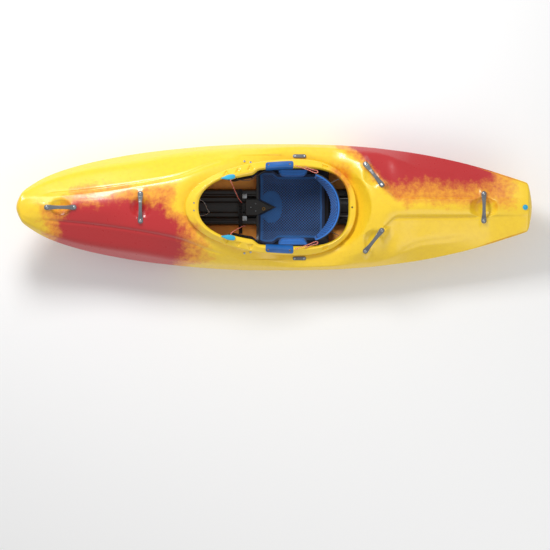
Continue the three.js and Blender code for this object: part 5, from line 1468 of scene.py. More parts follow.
    def rim(self) -> None:
        """The cockpit rim, as a closed ring with the lip, the flanges and the wall, and its three screws."""
        angles = np.linspace(0, TURN, self.rim_sections + 1)[:-1]
        corners = self.cockpit.section(angles)
        face = lerp(corners[:, 3:4], corners[:, 4:5], np.linspace(0, 1, self.face_points + 2)[1:-1, None])
        corners = np.concatenate([corners[:, :4], face, corners[:, 4:]], axis=1)
        section = rounded(corners, self.rim_round, 3, closed=True)
        self.press(section, section[..., 2] > self.cockpit.levels(angles)[1][:, None] - 8)
        self.shop.piece("cockpit_rim", Skin().grid(section, along=True), Look.HULL)
        for name, x, y, look in self.screws:
            angle, share = self.cockpit.locate(np.array([x]), np.array([y]))
            z = float(self.cockpit.top(angle, float(share[0]))[0])
            self.bolts.one(f"rim_screw_{name}", (x, y, z + 0.4), (-0.1, 0, 1), 8.0, look, 4.4, own=False)

    def pillar(self, name: str, front: float, rear: float, windows: Sequence[float]) -> None:
        """A foam pillar between floor and deck, with oval windows shown as shallow pressings.

        Args:
            name: the pillar's node.
            front: its front end.
            rear: its rear end.
            windows: places of the windows' middles, as shares of its length.
        """
        x = np.linspace(front, rear, 121)
        low = self.form.floor(x) + 1
        decks = [self.top(x.copy(), np.full_like(x, y), self.form.deck(x, y)) for y in (0.0, self.pillar_half)]
        high = np.minimum(*decks) - WALL - 3
        v = np.linspace(0, 1, 25)[None, :]
        z = lerp(low[:, None], high[:, None], v)
        long, tall, depth = self.window
        press = np.zeros(z.shape)
        for middle in (lerp(front, rear, share) for share in windows):
            level = (np.interp(middle, x, low) + np.interp(middle, x, high)) / 2
            press += depth * smoothstep(1 - np.hypot((x[:, None] - middle) / long, (z - level) / tall), 0, 0.25)
        y = self.pillar_half - press - 3 * (v ** 12 + (1 - v) ** 12)
        self.shop.dress(name, Skin().sheet(*(spots(x[:, None], sign * y, z) for sign in (-1, 1)), 1.5), Look.FOAM)

    def build(self) -> None:
        """Make the hull, its rim and its pillars."""
        self.shell()
        self.rim()
        for pillar in self.pillars:
            self.pillar(*pillar)


@dataclass
class Handles:
    """The five grab handles on the deck and their bolts."""

    places: Sequence[HandlePlace]
    shop: Workshop
    bolts: Bolts
    length: float = 173.0
    arch: float = 22.0
    thick: float = 7.0
    rows: int = 97
    sides: int = 32
    round_from: float = 0.84
    tip_from: float = 0.975
    power: float = 2 / 3
    rib: float = 0.35
    shares: tuple = ((0, .64, 1), (.28, .68, .92), (.5, .78, .55), (.7, .95, .04), (.84, 1, 0), (1, 1, 0))

    def form(self, foot: float) -> Array:
        """A handle about its own middle.

        Each section is a superellipse of power 3. Half widths and rises come from curves through the
        shares, and past 0.84 of the half length the width follows a circle. Fine ribs, as a sine across
        the grip, stand on its upper face.

        Args:
            foot: the width of its feet.

        Returns:
            Points shaped (sections, sides, 3).
        """
        turn = np.linspace(-1, 1, self.rows)
        at = np.sign(turn) * (1 - (1 - np.abs(turn)) ** 1.25)
        size = np.abs(at)[:, None]
        width = curve_of(self.shares)(size) * foot / 2 * np.sqrt(1 - past(size, self.round_from) ** 2)
        rise = curve_of(self.shares, column=2)(size) * self.arch + FIT + self.thick / 2
        half = self.thick / 2 * np.sqrt(1 - past(size, self.tip_from) ** 2)
        cosine, sine = circle(self.sides)
        y = width * bent(cosine, self.power)
        ribs = self.rib * np.sin(np.clip(np.abs(y) / 3.4, 0, 3) * TURN) * (sine > 0.3) * (size < 0.62)
        return spots(at[:, None] * self.length / 2, y, rise + half * bent(sine, self.power) + ribs)

    def build(self) -> None:
        """Make the handles and their bolts."""
        form = self.form(self.places[0].foot)
        for place in self.places:
            skin = Skin().grid(place_by_frame(form, place.origin, place.along, place.up))
            self.shop.dress(f"grab_handle_{place.label}", skin, Look.GREY)
            for end, sign in (("fore", -1), ("aft", 1)):
                seat = place.origin + sign * place.reach * place.along + (self.thick + 2 * FIT) * place.up
                self.bolts.one(f"handle_bolt_{place.label}_{end}", seat, place.up, 25.0, along=place.along)


@dataclass
class Plug:
    """The drain plug in the stern deck, with a grip to pull it by."""

    shop: Workshop
    radius: float = 14.0
    flange: float = 3.5
    grip: float = 5.0
    shank: float = 9.0
    length: float = 16.0
    knurl: float = 0.05
    knurls: int = 12

    def build(self) -> None:
        """Make the plug: a turned body and a waisted grip, knurled by a cosine of the turn."""
        r, f, g, s, long = self.radius, self.flange, self.grip, self.shank, self.length
        form = lathe([(0, -long), (s - 1, -long), (s, 1.5 - long), (s, -9), (s - 1, -8), (s - 1, -6), (s, -5), (s, 0),
                      (r - 0.6, 0), (r, 0.6), (r, f - 1), (r - 1, f), (r * 0.62, f), (r * 0.56, f - 0.8),
                      (r * 0.5, f), (5.6, f + 0.4), (4.9, f + 2.2), (5.3, f + g - 0.9), (4.6, f + g), (0, f + g)], 64)
        x, y, z = form[..., 0], form[..., 1], form[..., 2]
        gripped = (z > f + 0.3) & (np.hypot(x, y) > 1)
        form[..., :2] *= (1 + self.knurl * np.cos(np.arctan2(y, x) * self.knurls) * gripped)[..., None]
        self.shop.dress("drain_plug", Skin().grid(form + PLUG_PLACE), Look.TOGGLE, "plug")


@dataclass
class Tray:
    """The centre tray, its strap with a buckle, and the strap's keepers."""

    form: HullForm
    shop: Workshop
    front: float = -560.0
    rear: float = 440.0
    half: float = 98.0
    rail: float = 38.0
    level: float = 50.35
    channel: float = 14.0
    wall: float = 5.0
    band: Point = (26.0, 9.0, 5.0)
    groove: Point = (7.5, 0.5, 2.0)
    notch: Point = (-400.0, -190.0, 9.0, 1.6)
    strap_x: float = -186.0
    strap_end: float = -143.2
    strap_width: float = 19.0
    strap_thick: float = 1.6
    strap_rows: int = 130
    bars: Point = (-36, -20, -4, 11)
    side_bar: float = 10.9
    keeper: Point = (-164.0, 60.5)
    shares: Point = (0.93, 0.62, 0.52, 0.45)

    def rail_top(self, x: Number) -> Array:
        """Height of the rails."""
        return np.maximum(self.level, self.form.floor(x) + self.rail)

    def section(self, x: Array) -> Array:
        """The tray's thin section: an upper line and the same line a wall lower.

        Each rail has a groove along its top, notched in front of the strap, and a low band stands in the
        channel between the rails.

        Args:
            x: places of the sections.

        Returns:
            Points shaped (sections, corners, 3).
        """
        outer, inner, channel = (share * self.half for share in self.shares[:3])
        foot, rail = self.form.floor(x) + FIT, self.rail_top(x)
        start, end, pitch, cut = self.notch
        groove, soft, sunk = self.groove
        bed = rail - sunk - np.where((x > start) & (x < end), cut * ((x / pitch) % 1 > 0.5), 0)
        low, ridge, middle = rail - self.channel, lerp(foot, rail, self.shares[3]), (outer + inner) / 2
        shift, half, wall = self.wall * self.shares[3], self.half, self.wall
        wide, flat, lift = self.band
        upper = [(half, foot), (half, ridge), (outer, rail), (middle + groove + soft, rail),
                 (middle + groove - soft, bed), (middle - groove + soft, bed), (middle - groove - soft, rail),
                 (inner, rail), (channel, low), (wide + 4, low), (wide, low + lift - 1), (flat, low + lift)]
        lower = [(channel + shift, low - wall), (inner + shift, rail - wall), (outer - shift, rail - wall),
                 (half - wall, ridge - shift), (half - wall, foot)]
        mirrored = [[(-y, z) for y, z in reversed(line)] for line in (upper, lower)]
        return np.stack([spots(x, y, z) for y, z in (*upper, *mirrored[0], *mirrored[1], *lower)], axis=1)

    def strap(self, floor: float, rail: float) -> None:
        """Make the webbing strap: a flat band along a bent line, with its weave's places as marks.

        Args:
            floor: height of the hull's floor under it.
            rail: height of the rails under it.
        """
        t = self.strap_thick
        edge = self.half + t
        line = [(0, self.strap_end, floor + t), (0, -edge - 19, floor + t), (0, -edge - t, floor + 2 * t),
                (0, -edge - t, rail + t), (0, edge - 2, rail + t)]
        path = rounded(np.array(line, float), 5.0, 5)
        far = distances(path)[-1]
        path = resampled(path, self.strap_rows)
        normal = np.cross(unit(np.gradient(path, axis=0)), (1, 0, 0))
        normal = normal[:, None, :] * np.sign(normal[-1, 2]) * t / 2
        across = np.linspace(-0.5, 0.5, 13) * self.strap_width
        bed = path[:, None, :] + spots(across + self.strap_x, 0, 0)
        mark = spots(across[None, :], 0, np.linspace(0, far, self.strap_rows)[:, None])
        skin = Skin().sheet(bed + normal, bed - normal, 0.3, marks=(mark, mark, 0.0))
        self.shop.dress("tray_strap", skin, Look.WEBBING)

    def build(self) -> None:
        """Make the tray, the strap, its ladder buckle and its keepers."""
        section = rounded(self.section(np.linspace(self.front, self.rear, 223)), 2.4, 2, closed=True)
        self.shop.dress("centre_tray", Skin().grid(section, ends=True), Look.BLACK, sharp=50)
        x = self.strap_x
        floor, rail = float(self.form.floor(x)[0]) + FIT, float(self.rail_top(x)[0]) + FIT
        self.strap(floor, rail)
        buckle = Skin()
        for y in self.bars:
            buckle.grid(rounded_box((23, 3.4, 4.4), 1.2, (x, y, rail + 3.6)), ends=True)
        for shift in (-self.side_bar, self.side_bar):
            buckle.grid(rounded_box((4, 50, 6.5), 1.5, (x + shift, -12.5, rail + 3.4)), ends=True)
        self.shop.piece("strap_buckle", buckle, Look.BLACK)
        for side in Side:
            place = flipped(np.array([*self.keeper, rail]), side)
            keeper = Skin().grid(rounded_box((24, 27, 1.6), 1.5, place + [0, 0, 1.2]), ends=True)
            keeper.grid(rounded_box((14, 5, 2.4), 0.7, place + [0, 0, 2.6]), ends=True)
            self.shop.piece(f"tray_keeper_{side.label}", keeper, Look.STEEL)


@dataclass
class Seat:
    """The seat: a bucket with wings and a horn, its pad, two hip pads and the plates of their brackets."""

    shop: Workshop
    bolts: Bolts
    front: float = -100.0
    rear: float = 287.0
    flat: float = 130.0
    reach: float = 71.0
    level: float = 54.65
    shell: float = 4.0
    base: float = 50.65
    wing: float = 175.0
    lip: float = 42.0
    lip_length: float = 48.0
    pad: float = 12.0
    wing_shares: tuple = ((0, .22), (.18, .6), (.36, 1), (.69, 1), (.82, .57), (1, .48))
    horn_front: float = -160.0
    horn_half: float = 45.0
    horn_rings: tuple = ((1.5, 50.7), (0, 52), (0, 66), (1.0, 68.4), (3.4, 69.6), (5.5, 69.6))
    notch: Point = (-29.4, 7.2)
    buttons: tuple = ((-61.3, -8.5, 9.0, Look.BRASS), (-104, 20, 3.0, Look.STEEL), (-104, -20, 3.0, Look.STEEL),
                      (-130, 0, 3.0, Look.STEEL))
    button_level: float = 69.2
    hip_pad: float = 27.0
    hip_along: Point = (19.0, 172.0)
    hip_across: Point = (0.8, 0.96)
    hip_gap: float = 1.2
    plate_half: float = 26.0
    plate_radius: float = 9.5
    plate_rings: tuple = ((0.6, -6.5), (0, -5.9), (0, 1.2), (0.5, 1.9), (1.6, 2.2))

    def __post_init__(self) -> None:
        """Prepare the curve of the wings' height."""
        places, heights = np.array(self.wing_shares).T
        self.wing_at = Curve(lerp(self.front, self.rear, places), heights * self.wing)

    def face(self, x: Array, across: Array) -> Array:
        """The seat's inner face.

        Flat out to half way across, then a quarter turn up into the wing. The rear lip rises as a square
        of the way along it.

        Args:
            x: places along the boat.
            across: shares of the way out, from -1 to 1.

        Returns:
            Points of the face.
        """
        wing = np.maximum(0, 2 * np.abs(across) - 1)
        turn = wing * math.pi / 2
        y = self.flat * np.minimum(1, np.abs(across) / 0.5) + self.reach * np.sin(turn)
        lip = self.lip * past(x, self.rear - self.lip_length, self.rear) ** 2 * (1 - wing)
        return spots(x, np.sign(across) * y, self.level + self.wing_at(x) * (1 - np.cos(turn)) + lip)

    def point(self, x: Array, across: Array, lift: Number = 0.0) -> Array:
        """Places raised off the inner face, square to it.

        Args:
            x: places along the boat.
            across: shares of the way out, from -1 to 1.
            lift: how far they are raised.

        Returns:
            The raised points.
        """
        x, across, lift = np.broadcast_arrays(x, across, lift)
        along = self.face(x + 1, across) - self.face(x - 1, across)
        over = self.face(x, across + 0.01) - self.face(x, across - 0.01)
        return self.face(x, across) + unit(np.cross(along, over)) * lift[..., None]

    def gap(self, x: Array, across: Array) -> Array:
        """How far a soft piece stays off the face: more over the bends."""
        bend, lip = 16 * np.abs(across) - 8, 1 - (self.rear - self.lip_length - x) / self.pad
        return FIT + 2.9 * np.clip(np.maximum(bend, lip), 0, 1)

    def bucket(self) -> None:
        """Make the bucket and its horn, with a round notch behind, and the horn's buttons."""
        x, across = np.linspace(self.front, self.rear, 80)[:, None], np.linspace(-1, 1, 97)[None, :]
        bottom = self.point(x, across, -self.shell)
        bottom[..., 2] = np.maximum(bottom[..., 2], self.base)
        turn = np.linspace(-math.pi / 3, math.pi / 3, 7)
        start, half = self.horn_front, self.horn_half
        tip = np.column_stack([self.notch[0] + self.notch[1] * np.cos(turn), self.notch[1] * np.sin(turn)])
        flat = [(start, -half), (self.front, -half), *tip, (self.front, half), (start, half)]
        horn = prism(flat_outline(flat, 8.0, 5), self.horn_rings)
        skin = Skin().sheet(self.point(x, across), bottom, 0.8).grid(horn, ends=True)
        self.shop.dress("seat_base", skin, Look.BLACK, "seat")
        for i, (x0, y0, r, look) in enumerate(self.buttons):
            form = lathe([(0, -2), (r * 0.96, -2), (r, -1.4), (r, 0.7), (r * 0.9, 1.3), (r * 0.62, 1.3),
                          (r * 0.52, 0.3), (0, 0.2)], 40)
            self.shop.piece(f"horn_button_{i}", Skin().grid(form + (x0, y0, self.button_level)), look, "seat",
                            slot="bolt_steel")

    def pad_place(self, u: Array, v: Array) -> Pair:
        """A place of the seat pad: straight behind, notched in front of the horn, with rounded corners.

        Args:
            u: shares of the way back.
            v: shares of the way across.

        Returns:
            Places along the boat, and shares of the way out on the seat.
        """
        s, start = 2 * v - 1, self.front + self.pad
        notch = (self.pad / 2 - 8 - start) * np.maximum(0, 1 - np.abs(s) / 0.21)
        x = lerp(start + notch, self.rear - 1.5 * self.pad, u)
        reach = lerp(0.92, 0.75, smoothstep(x, -17, 19))
        return x, s * reach * np.sqrt(1 - 0.62 * past(u, 0.8) ** 2) * np.sqrt(1 - 0.4 * past(-u, -0.14, 0) ** 2)

    def cushion(self) -> None:
        """Make the seat pad: a shaped foam with a notch in front and pressed lines.

        Its thickness follows a crown that falls off at the edges, less grooves that are bells of a
        distance: a V behind the middle, rays that spread from the rear, and an oval round the front.
        """
        u, v = cushion_grid(91, 141)
        x, across = self.pad_place(u, v)
        x_in, across_in = self.pad_place(lerp(0.015, 0.985, u), lerp(0.015, 0.985, v))
        y = across_in * self.flat / 0.5
        vee = bell(np.abs(y - 20) * 0.55 + x_in - 165, 2.2) * (np.abs(y - 45) < 70) * (y > -10)
        rays = (np.cos(np.arctan2(y, 330 - x_in) * 22) ** 24 * smoothstep(x_in, 190, 205) * (np.abs(y) < 118))
        oval = np.hypot((x_in + 20) / 62, (y - 2) / 88)
        thick = self.pad * lerp(0.5, 1, swell(u, v)) - 1.3 * vee - 1.2 * rays - 1.1 * bell(oval - 1, 0.03)
        rim = edge_share(u, v) ** 3
        mark = spots(y, x_in, np.where(oval < 1, np.maximum(rim, 0.8), rim))
        skin = Skin().sheet(self.point(x_in, across_in, self.gap(x_in, across_in) + thick),
                            self.point(x, across, self.gap(x, across)), 2.2, 5, (mark, 0.0, (0, 0, 1)))
        self.shop.dress("seat_pad", skin, Look.SEAT, "seat")

    def hip_pads(self) -> None:
        """Make the two hip pads, with a pressed channel round each and shallow waves inside it."""
        u, v = cushion_grid(57, 41)
        ring = edge_share(u, v)
        pressed = 1.8 * bell(ring - 0.72, 0.035) - 0.7 * np.cos(u * TURN * 6) * (ring < 0.66)
        thick = self.hip_gap + self.hip_pad * lerp(0.5, 1, swell(u, v)) - pressed
        faces = []
        for edge, lift in ((0.05, thick), (0.0, self.hip_gap)):
            along, over = (lerp(edge, 1 - edge, way) for way in (u, v))
            faces.append(self.point(lerp(*self.hip_along, along), lerp(*self.hip_across, over), lift))
        for side in Side:
            skin = Skin().sheet(*(flipped(face, side) for face in faces), 1.5, 6)
            self.shop.dress(f"hip_pad_{side.label}", skin, Look.BAND, "seat")

    def hip_plates(self) -> None:
        """Make the plates that hold the brackets, bars with round ends, with two bright studs each."""
        turn = np.linspace(-math.pi / 2, math.pi / 2, 11)
        end = np.column_stack([self.plate_half + self.plate_radius * np.cos(turn), self.plate_radius * np.sin(turn)])
        form = prism(np.concatenate([end, -end]), self.plate_rings)
        for side in Side:
            node = f"hip_plate_{side.label}"
            low, high = cad_box(node)
            up = unit(np.array([0.0, side.value * 0.25, 1.0]))
            middle = np.array([*(low + high)[:2] / 2, high[2] - 6.5])
            self.shop.dress(node, Skin().grid(place_by_frame(form, middle, (1, 0, 0), up), ends=True), Look.GREY)
            for end in (-1, 1):
                seat = middle + [end * (self.plate_half - 1), 0, 0] + up * 2.2
                self.bolts.one(f"{node}_screw_{end + 1}", seat, up, 12.0, head=5.5, own=False)

    def build(self) -> None:
        """Make the seat's pieces."""
        self.bucket()
        self.cushion()
        self.hip_pads()
        self.hip_plates()


@dataclass
class Backband:
    """The backband: a curved shell on a stem with a barrel, and its pad."""

    shop: Workshop
    middle: float = 152.0
    low: float = 195.0
    rise: float = 124.0
    ends: Point = (22.0, 25.0)
    radius: float = 167.0
    lean: float = 26.0
    spread: float = 70.0
    shell: float = 4.0
    stem: Point = (326.0, 0.0, 179.0)
    pin: Point = (322.0, 0.0, 150.0)
    barrel: tuple = ((0, -28), (7.5, -28), (9, -26.5), (9, 26.5), (7.5, 28), (0, 28))
    pad: float = 13.0
    pad_gap: float = 0.8

    def point(self, across: Array, height: Array, lift: Number) -> Array:
        """Places on the band: round an upright axis, leaning back with height.

        Args:
            across: shares of the spread to each side, from -1 to 1.
            height: shares of the rise.
            lift: distance outwards from the inner face.

        Returns:
            Points of the band.
        """
        turn = np.radians(across * self.spread)
        z = lerp(self.low + self.ends[0] * across ** 2, self.low + self.rise - self.ends[1] * across ** 4, height)
        radius = self.radius + self.lean * (z - self.low) / self.rise + lift
        return spots(self.middle + radius * np.cos(turn), radius * np.sin(turn), z)

    def build(self) -> None:
        """Make the shell with its stem, barrel and ribs, and then the pad."""
        u, v = np.linspace(-1, 1, 101)[:, None], np.linspace(0, 1, 33)[None, :]
        skin = Skin().sheet(self.point(u, v, self.shell), self.point(u, v, 0.0), 1.0)
        skin.grid(rounded_box((10, 56, 58), 2.5, self.stem), ends=True)
        skin.grid(place_by_frame(lathe(self.barrel, 40), self.pin, (1, 0, 0), (0, 1, 0)))
        for y in (-18, 0, 18):
            skin.grid(rounded_box((4, 3, 50), 0.8, (self.stem[0] + 7, y, self.stem[2] + 3)), ends=True)
        self.shop.dress("backband_shell", skin, Look.BLACK, "backband")
        self.cushion()

    def cushion(self) -> None:
        """Make the pad: a foam, fuller below, with a border channel and slanting channels.

        The border is a bell of the distance from it, and the slanting channels are a cosine to the
            fourth power across slanting lines. The third mark is raised in the slanting channels, so that they take
            the darker edge colour as painted shade.
        """
        u, v = cushion_grid(161, 61)
        ring, across = edge_share(u, v, 1.5), np.abs(2 * u - 1)
        chevrons = np.cos((across * 5.5 + v * 1.6) * TURN) ** 4 * (ring < 0.975)
        fuller = lerp(1.8, 1.05, v) * (1 - across ** 4) + across ** 4
        thick = self.pad * lerp(0.5, 1, swell(u, v)) * fuller - 1.8 * bell(ring - 0.9, 0.025) - 3.4 * chevrons
        # The slanting channels are marked nearly as high as the edge, so they are painted darker as painted shade.
        rim = np.maximum(np.clip(ring * 1.02, 0, 1) ** 2, 0.84 + 0.14 * chevrons)
        top = self.point(2 * lerp(0.02, 0.98, u) - 1, lerp(0.03, 0.97, v), -self.pad_gap - thick)
        bottom = self.point(2 * u - 1, v, -self.pad_gap)
        skin = Skin().sheet(top, bottom, 2.0, 5, (spots(u * 400, v * 120, rim), 0.0, 0.0))
        self.shop.dress("backband_pad", skin, Look.BAND, "backband")


@dataclass
class Grips:
    """What the legs and hands meet at the rim: thigh plates with their screws, bolts and toggles."""

    form: HullForm
    cockpit: Cockpit
    shop: Workshop
    bolts: Bolts
    front: float = -49.0
    rear: float = 97.0
    rows: int = 61
    thick: float = 5.0
    gap: float = 0.8
    fold: float = 12.0
    screws: tuple = ((-35.0, 227.0), (78.0, 230.0))
    toggle_x: float = -249.0
    toggle_share: float = 0.28
    toggle_length: float = 78.0
    toggle_width: float = 14.0
    toggle_thick: float = 9.0
    toggle_sides: int = 28
    toggle_shares: tuple = ((0, .14), (.22, .5), (.42, .86), (.6, 1), (.85, .92), (1, .7))
    toggle_bodies: tuple = ((Side.STARBOARD, "toggle_stbd"), (Side.PORT, "toggle_prt"))
    thigh_bolts: tuple = (("front", -164.4, 243.1), ("rear", -131.5, 238.0))
    rail_bolts: tuple = (("front", -560.5, 151.0), ("rear", -482.4, 143.0))

    def plate(self, side: Side) -> None:
        """A thigh plate, folded over the rim, with two screws.

        The line across each section follows the rim's corners at a gap, and the corners of the plate are
        quarter circles of the way to its ends.

        Args:
            side: its side of the boat.
        """
        angles = np.linspace(*self.cockpit.angle_at([self.front, self.rear], self.cockpit.crest_shares[1]), self.rows)
        corners = self.cockpit.section(angles)
        ends = past(np.abs(np.linspace(-1, 1, self.rows)), 0.86)[:, None]
        edge = lerp(corners[:, 4], corners[:, 3], 0.2 + 0.35 * (1 - np.sqrt(1 - ends ** 2)))
        line = np.stack([edge, corners[:, 3], corners[:, 2], corners[:, 1], corners[:, 1] - [0, 0, 50]], axis=1)
        outward = np.array([[0, 0, 1], [0, 0, 1], [0, -.5, .9], [0, -1, .4], [0, -1, 0]])
        run = np.sin(np.linspace(0, math.pi, self.rows))[:, None, None] ** 0.25
        low, high = (rounded(line + outward * lift, self.fold, 6)
                     for lift in (self.gap, self.gap + self.thick * lerp(0.7, 1, run)))
        node = f"thigh_plate_{side.label}"
        self.shop.dress(node, Skin().sheet(flipped(high, side), flipped(low, side), 1.2), Look.BLUE)
        for i, (x, y) in enumerate(self.screws):
            strip = high[int(np.argmin(np.abs(high[:, 1, 0] - x)))]
            origin = flipped(np.array([x, y, np.interp(-y, -strip[:, 1], strip[:, 2]) + 0.2]), side)
            self.bolts.one(f"{node}_screw_{i}", origin, (0, side.value * 0.12, 1), 8.0, Look.BRASS, 4.6, own=False)

    def toggle(self, side: Side, body: str) -> None:
        """A toggle, pointed towards the bow, with ribs for the fingers.

        Half widths come from a curve through the shares, closed by quarter circles at both ends. A
        section is a superellipse above, and nearly flat below.

        Args:
            side: its side of the boat.
            body: the body it moves with.
        """
        x = self.toggle_x + np.array([-0.5, 0, 0.5]) * self.toggle_length
        angle = self.cockpit.angle_at(x, self.toggle_share)
        ends = spots(*self.cockpit.place(angle, self.toggle_share), self.cockpit.levels(angle)[0])
        along = unit(ends[2] - ends[0])
        at = eased(61)[:, None]
        tail, nose = past(at, 0.93), past(-at, -0.05, 0)
        width = curve_of(self.toggle_shares)(at) * np.sqrt(1 - tail ** 2) * np.sqrt(1 - nose ** 2)
        cosine, sine = circle(self.toggle_sides)
        thick = self.toggle_thick * lerp(0.6, 1, width) * np.sqrt(1 - tail ** 4)
        ribs = 0.5 * np.cos(at * TURN * 11) * (np.abs(at - 0.72) < 0.17)
        z = 0.9 + (thick + ribs) * np.maximum(sine, 0) ** 0.8 - 1.4 * np.maximum(-sine, 0)
        grid = spots((at - 0.5) * self.toggle_length, width * self.toggle_width * bent(cosine, 0.75), z)
        placed = place_by_frame(grid, ends[1], along, np.cross(along, [0, 1, 0]))
        self.shop.dress(f"toggle_{side.label}", Skin().grid(flipped(placed, side), ends=True), Look.TOGGLE, body)

    def bolt_at(self, node: str, up: Array, length: float, wide: float) -> None:
        """A bolt in the place of a CAD bolt, from the way it points, its shank's length and its head's radius."""
        middle, head = sum(cad_box(node)) / 2, self.bolts.high * wide / self.bolts.head
        self.bolts.one(node, middle + up * (length - head) / 2, up, length, head=wide)

    def build(self) -> None:
        """Make the plate, the toggle and the bolts of each side."""
        for side, body in self.toggle_bodies:
            self.plate(side)
            self.toggle(side, body)
            for end, x, y in self.thigh_bolts:
                self.bolt_at(f"thigh_bolt_{end}_{side.label}", flipped(self.form.deck_normal(x, y), side), 19.0, 6.0)
            for end, x, z in self.rail_bolts:
                across = self.form.side([x + 5, x - 5, x, x], [z, z, z + 5, z - 5])
                up = unit(np.array([(across[1] - across[0]) / 10, 1.0, (across[3] - across[2]) / 10]))
                self.bolt_at(f"rail_bolt_{end}_{side.label}", flipped(up, side), 22.0, 8.0)


@dataclass
class Footrest:
    """The foam face of the footrest."""

    shop: Workshop
    front: float = -793.7
    rear: float = -769.7
    half: float = 139.7
    low: float = 140.0
    high: float = 248.7
    crown: float = 4.0
    grooves: int = 5

    def build(self) -> None:
        """Make the foam: a crowned block with level grooves, as a cosine to the eighth power."""
        u, v = cushion_grid(61, 41)
        groove = np.maximum(0, np.cos(v * TURN * self.grooves)) ** 8 * 2 * (np.abs(2 * u - 1) < 0.86)
        rear = self.rear - self.crown * (1 - swell(u, v)) - groove
        top, bottom = (spots(x, lerp(-self.half, self.half, u), lerp(self.low, self.high, v))
                       for x in (rear, self.front))
        skin = Skin().sheet(top, bottom, 1.5, 4)
        self.shop.dress("footrest_pad", skin, Look.FOAM, "footrest")


@dataclass(frozen=True)
class CordFacts:
    """A cord: where it runs, in metres, how thick it is, and what holds its ends.

    The bends name the second body it is tied to, and the places between which it bends.
    """

    name: str
    diameter: float
    look: Look
    points: tuple
    bends: tuple = ()
    stiffness: str = "medium"

    def mirrored(self, name: str) -> "CordFacts":
        """The same cord on the port side."""
        points, ends = (tuple((x, -y, z) for x, y, z in line) for line in (self.points, self.bends[1:]))
        return CordFacts(name, self.diameter, self.look, points, (*self.bends[:1], *ends), self.stiffness)


PULL_STARBOARD = CordFacts(
    "pull_cord_starboard", 0.005, Look.RED,
    ((-.237, .1454, .414), (-.235, .138, .412), (-.23, .128, .398), (-.224, .114, .362), (-.216, .093, .3),
     (-.207, .072, .232), (-.197, .05, .16), (-.187, .035, .096), (-.18, .026, .0532)),
    ("toggle_stbd", (-.207, .072, .232), (-.235, .138, .412)))
PULL_PORT = CordFacts(
    "pull_cord_port", 0.005, Look.RED,
    ((-.235, -.1454, .414), (-.232, -.138, .411), (-.226, -.132, .396), (-.214, -.124, .352), (-.204, -.118, .296),
     (-.192, -.112, .228), (-.178, -.105, .15), (-.167, -.1015, .09), (-.161, -.1009, .05), (-.16, -.1009, .024)),
    ("toggle_prt", (-.192, -.112, .228), (-.232, -.138, .411)))
BAND_STARBOARD = CordFacts(
    "backband_cord_starboard", 0.0045, Look.RED,
    ((.108, .2217, .31), (.128, .216, .309), (.16, .205, .306), (.188, .1945, .303), (.207, .186, .3),
     (.221, .183, .2975), (.229, .188, .295), (.224, .195, .2935), (.208, .199, .2935), (.19, .204, .2955),
     (.172, .211, .299), (.158, .217, .301)),
    ("backband", (.165, .206, .3), (.222, .184, .296)))
BUNGEE_STARBOARD = CordFacts(
    "bungee_starboard", 0.0035, Look.THIN,
    ((.341, .15, .272), (.33, .146, .27), (.308, .134, .266), (.298, .127, .264), (.308, .113, .263),
     (.322, .092, .262), (.336, .062, .262), (.341, .047, .263), (.35, .046, .265), (.372, .047, .269),
     (.389, .047, .272)),
    ("backband", (.365, .0985, .272), (.3242, .0795, .265)))
FOOTREST_CORD = CordFacts(
    "footrest_cord", 0.0035, Look.WHITE,
    ((-.47, .044, .062), (-.44, .046, .06), (-.402, .039, .058), (-.381, .023, .056), (-.368, -.006, .055),
     (-.358, -.024, .055), (-.366, -.036, .056), (-.384, -.043, .057), (-.41, -.046, .058), (-.44, -.047, .06),
     (-.47, -.046, .062)), stiffness="limp")
ADJUSTER = CordFacts(
    "adjuster_line", 0.0035, Look.DARK,
    ((-.2074, .156, .4044), (-.196, .148, .395), (-.178, .144, .385), (-.157, .142, .376), (-.136, .144, .368),
     (-.112, .156, .36), (-.092, .169, .354), (-.07, .184, .348), (-.0484, .194, .34)),
    ("toggle_stbd", (-.136, .144, .368), (-.196, .148, .395)))


@dataclass
class Cords:
    """The boat's free cords."""

    shop: Workshop
    sides: int = 14
    step: float = 1.6
    relief: float = 0.04
    knot_place: Point = (-357.0, -26.0, 57.0)
    knot_radius: float = 1.55

    def tube(self, facts: CordFacts) -> None:
        """A cord with strands that wind round it, along its own line.

        The radius is drawn in between two strands by a sine of the turn and the distance along.

        Args:
            facts: what is known of the cord.
        """
        path = smoothed_path(np.array(facts.points) / MM, self.step)
        radius, winds = facts.diameter / MM / 2, TURN / facts.look.value.lay
        grid, mark = swept(path, self.sides, lambda turn, far: radius * (
            1 - self.relief + self.relief * np.sin(turn * 2 + far * winds)))
        cord = self.shop.dress(facts.name, Skin().grid(grid, ends=True, mark=mark), facts.look,
                               None if facts.bends else "boat", sharp=80)
        if facts.bends:
            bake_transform(cord)
        knots = (self.knot(facts.look),) if facts is FOOTREST_CORD else ()

    def knot(self, look: Look) -> bpy.types.Object:
        """A small overhand knot, a trefoil of sines and cosines, where the white cord turns.

        Args:
            look: the cord's finish.

        Returns:
            The knot's object.
        """
        t = np.linspace(0, TURN, 90)
        line = spots((np.sin(t) + 2 * np.sin(2 * t)) * 1.3, (np.cos(t) - 2 * np.cos(2 * t)) * 1.3, -np.sin(3 * t) * 1.8)
        grid, mark = swept(line + self.knot_place, 10, lambda turn, far: np.full(turn.shape, self.knot_radius))
        return self.shop.piece("footrest_cord_knot", Skin().grid(grid, ends=True, mark=mark), look, sharp=80)

    def build(self) -> None:
        """Make every cord."""
        for facts in (PULL_STARBOARD, PULL_PORT, BAND_STARBOARD, BAND_STARBOARD.mirrored("backband_cord_port"),
                      BUNGEE_STARBOARD, BUNGEE_STARBOARD.mirrored("bungee_port"), FOOTREST_CORD, ADJUSTER):
            self.tube(facts)


